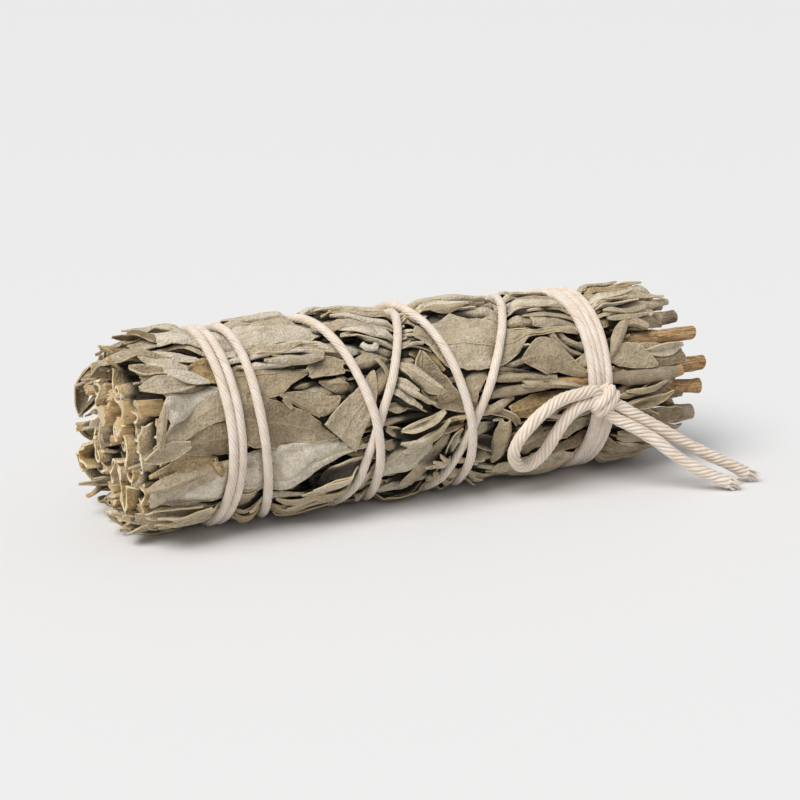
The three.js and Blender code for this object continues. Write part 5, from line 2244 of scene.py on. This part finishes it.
@dataclass
class Stem:
    """One woody stem, along the route of its node."""

    number: int
    bare_from: float  # the x from which its bark is gone
    swell: float  # how much thicker it is at its cut end, as a part of its radius
    sides: int = 20
    step: float = 0.5
    shown_from: float = 29.0  # the x from which it shows

    @property
    def node(self) -> str:
        """The frame's node that it stands for."""
        return f"stem_{self.number}"

    def shell(self) -> tuple[np.ndarray, np.ndarray]:
        """Shapes the stem, with its buds and scars.

        Returns:
            Rings of points round it, and its middle line, in millimetres.
        """
        points = np.array([v.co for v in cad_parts[self.node].data.vertices]) / MM
        levels = np.unique(np.round(points[:, 0], 2))
        rings = [points[np.abs(points[:, 0] - level) < 0.02] for level in levels]
        centres = np.array([ring.mean(axis=0) for ring in rings])
        radii = np.array([np.linalg.norm(r - c, axis=1).mean() for r, c in zip(rings, centres)])
        x = np.arange(levels[0], levels[-1], self.step)
        seed, noise = self.number, Noise(self.number)
        middle = np.stack([x] + [np.interp(x, levels, centres[:, i]) for i in (1, 2)], -1)
        middle[:, 1] += 0.25 * noise(x / 9, seed)
        middle[:, 2] += 0.25 * noise(x / 9, seed + 5)
        angle = circle(self.sides)
        buds = np.exp(-((((x + seed * 3.7) % 17) - 8.5) ** 2) / 0.9)
        radius = np.interp(x, levels, radii) * (1 + 0.16 * buds) * (1 + self.swell * smooth_step(x, 32, 40))
        bark = 0.05 * noise(x[:, None] / 4, angle * 3) + 0.04 * noise(x[:, None] / 1.3, angle * 5)
        shell = rings_round(middle, radius[:, None] * (1 + bark), angle, 0.0)
        shell[[0, -1], :, 0] += 0.22 * np.cos(angle + seed)
        return shell, middle

    def surface(self) -> Surface:
        """Makes the stem a closed shape, with wider-spaced rings among the leaves.

        Returns:
            The closed shape.
        """
        shell, middle = self.shell()
        among = int((middle[:, 0] < self.shown_from).sum())
        kept = np.r_[0:among:2, among : len(middle)]
        light = 0.1 * ((self.number * 7) % 5 - 2)
        return closed_stem(shell[kept], middle[kept], (self.bare_from, 120.0), light, self.number)


@dataclass
class Branch:
    """A woody stalk that lies outermost, along a route over the leaves."""

    route: tuple[tuple[float, float, float, float], ...]  # as (x, degrees, radius, thickness)
    bare: Span
    seed: int
    light: float = 0.2
    sides: int = 20
    step: float = 0.4

    def surface(self, form: Form) -> Surface:
        """Makes the stalk a closed shape.

        Args:
            form: The bundle's form.

        Returns:
            The closed shape.
        """
        count = int((self.route[-1][0] - self.route[0][0]) / self.step)
        x, degrees, radius, thickness = spline(self.route, np.linspace(0, len(self.route) - 1, count)).T
        noise = Noise(self.seed)
        line = form.place(x, degrees, radius) / MM
        line[:, 2] += 0.2 * noise(x / 5, self.seed)
        angle = circle(self.sides)
        bark = 1 + 0.07 * noise(x[:, None] / 4, angle * 1.5) + 0.05 * noise(x[:, None] / 1.3, angle * 5)
        shell = rings_round(line, thickness[:, None] / 2 * bark, angle, 0.3 * np.cos(angle + self.seed))
        return closed_stem(shell, line, self.bare, self.light, self.seed)


BRANCHES = (
    Branch(
        ((8.5, 12.6, 15.2, 1.5), (12, 13.2, 15.5, 1.8), (16, 13.8, 15.7, 1.9), (19.5, 14.4, 15.7, 2.1),
         (21, 14.5, 15.6, 1.8), (25, 13.8, 15.4, 1.8), (29, 13.4, 15.0, 1.8), (33.5, 13.2, 15.2, 1.9)),
        (20.5, 27.5), 3,
    ),
    Branch(
        ((33, 13.6, 15.2, 2.1), (35.4, 12.6, 15.3, 2.5), (36.3, 12.2, 15.3, 3.2), (37.3, 11.7, 15.2, 2.7),
         (42, 11.0, 14.8, 2.8), (46, 11.2, 14.5, 2.7), (49, 12.4, 14.2, 2.5)),
        (47.6, 99.0), 8,
    ),
)  # fmt: skip


@dataclass
class Stems:
    """The bundle's woody stems."""

    finish: Material
    count: int = 13
    bare_from: dict[int, float] = field(default_factory=lambda: {4: 36.0, 5: 48.0, 6: 45.0, 2: 49.5})
    swell: dict[int, float] = field(default_factory=lambda: {3: 0.1, 4: 0.16, 5: 0.22, 6: 0.15, 7: 0.35})

    def stems(self) -> list[Stem]:
        """The stems, one for each node."""
        numbers = range(1, self.count + 1)
        return [Stem(i, self.bare_from.get(i, 99.0), self.swell.get(i, 0.0)) for i in numbers]

    def build(self, form: Form) -> None:
        """Makes one piece for each stem, and one for the branches that lie over the leaves.

        Args:
            form: The bundle's form.
        """
        for stem in self.stems():
            make_piece(f"woody_{stem.node}", [stem.surface()], self.finish, [stem.node])
        make_piece("woody_branches", [branch.surface(form) for branch in BRANCHES], self.finish)


# ---------------------------------------------------------------------------------------------
# Studio


@dataclass
class Studio:
    """The floor, the lights and the camera."""

    form: Form
    camera_from_middle: tuple[float, float, float] = (-104.83, -215.81, 70.07)
    camera_azimuth: float = -25.585
    camera_elevation: float = 16.377
    lens: float = 62.87
    sensor: float = 36.0
    nearest_shown: float = 0.01
    floor_reach: float = 30.0
    room_colour: tuple[float, float, float, float] = (0.985, 0.99, 1.0, 1.0)
    room_strength: float = 0.44
    window_colour: tuple[float, float, float] = (1.0, 0.985, 0.96)
    window_strength: float = 2.65
    window_size: float = 40.0
    window_from: tuple[float, float, float] = (-0.53, -0.2, 0.82)

    def build(self) -> None:
        """Sets up the studio."""
        self._camera()
        self._floor()
        self._lights()
        bpy.context.scene.view_settings.view_transform = "Standard"

    def _camera(self) -> None:
        """Places the camera."""
        data = bpy.data.cameras.new("camera")
        data.lens = self.lens
        data.sensor_width = self.sensor
        data.clip_start = self.nearest_shown
        camera = add_object("camera", data)
        turn, rise = math.radians(self.camera_azimuth), math.radians(self.camera_elevation)
        back = Vector((math.sin(turn) * math.cos(rise), -math.cos(turn) * math.cos(rise), math.sin(rise)))
        right = Vector((math.cos(turn), math.sin(turn), 0))
        rotation = Matrix((right, back.cross(right), back)).transposed().to_4x4()
        middle = Vector((0, self.form.middle_y, self.form.middle_z))
        camera.matrix_world = Matrix.Translation((middle + Vector(self.camera_from_middle)) * MM) @ rotation
        bpy.context.scene.camera = camera

    def _floor(self) -> None:
        """Lays the floor."""
        mesh = bpy.data.meshes.new("floor")
        reach = self.floor_reach
        corners = [(-reach, -reach, 0), (reach, -reach, 0), (reach, reach, 0), (-reach, reach, 0)]
        mesh.from_pydata(corners, [], [(0, 1, 2, 3)])
        mesh.materials.append(FloorFinish().material())
        add_object("floor", mesh)

    def _lights(self) -> None:
        """Hangs one large soft light and lights the room evenly."""
        world = bpy.data.worlds.new("room")
        world.use_nodes = True
        room = world.node_tree.nodes["Background"]
        room.inputs["Color"].default_value = self.room_colour
        room.inputs["Strength"].default_value = self.room_strength
        bpy.context.scene.world = world
        data = bpy.data.lights.new("window", "SUN")
        data.energy = self.window_strength
        data.angle = math.radians(self.window_size)
        data.color = self.window_colour
        light = add_object("window", data)
        light.rotation_euler = Vector(self.window_from).to_track_quat("Z", "Y").to_euler()


def main() -> None:
    """Builds the bundle and its studio."""
    logging.basicConfig(level=logging.INFO, format="%(name)s %(message)s")
    form = Form.from_frame()
    Studio(form).build()
    winding = Winding()
    Binding(form, winding, TwineFinish().material()).build()
    stems = Stems(BarkFinish().material())
    stems.build(form)
    leaf = LeafFinish().material()
    Foliage(form, Pack(winding), leaf, [stem.shell()[0] * MM for stem in stems.stems()]).build()
    cut_leaf = LeafFinish("cut_leaf", sage="c4b08c", edge="fff0cc", tan="d2ae72", tan_deep="a0824c")
    straw = BarkFinish("straw_stalk", bare="f0d09c", bare_deep="835f33", cut="e8cc9a", pith="f2e0ba")
    CutEnds(form, leaf, cut_leaf.material(), straw.material()).build()


if __name__ == "__main__":
    main()
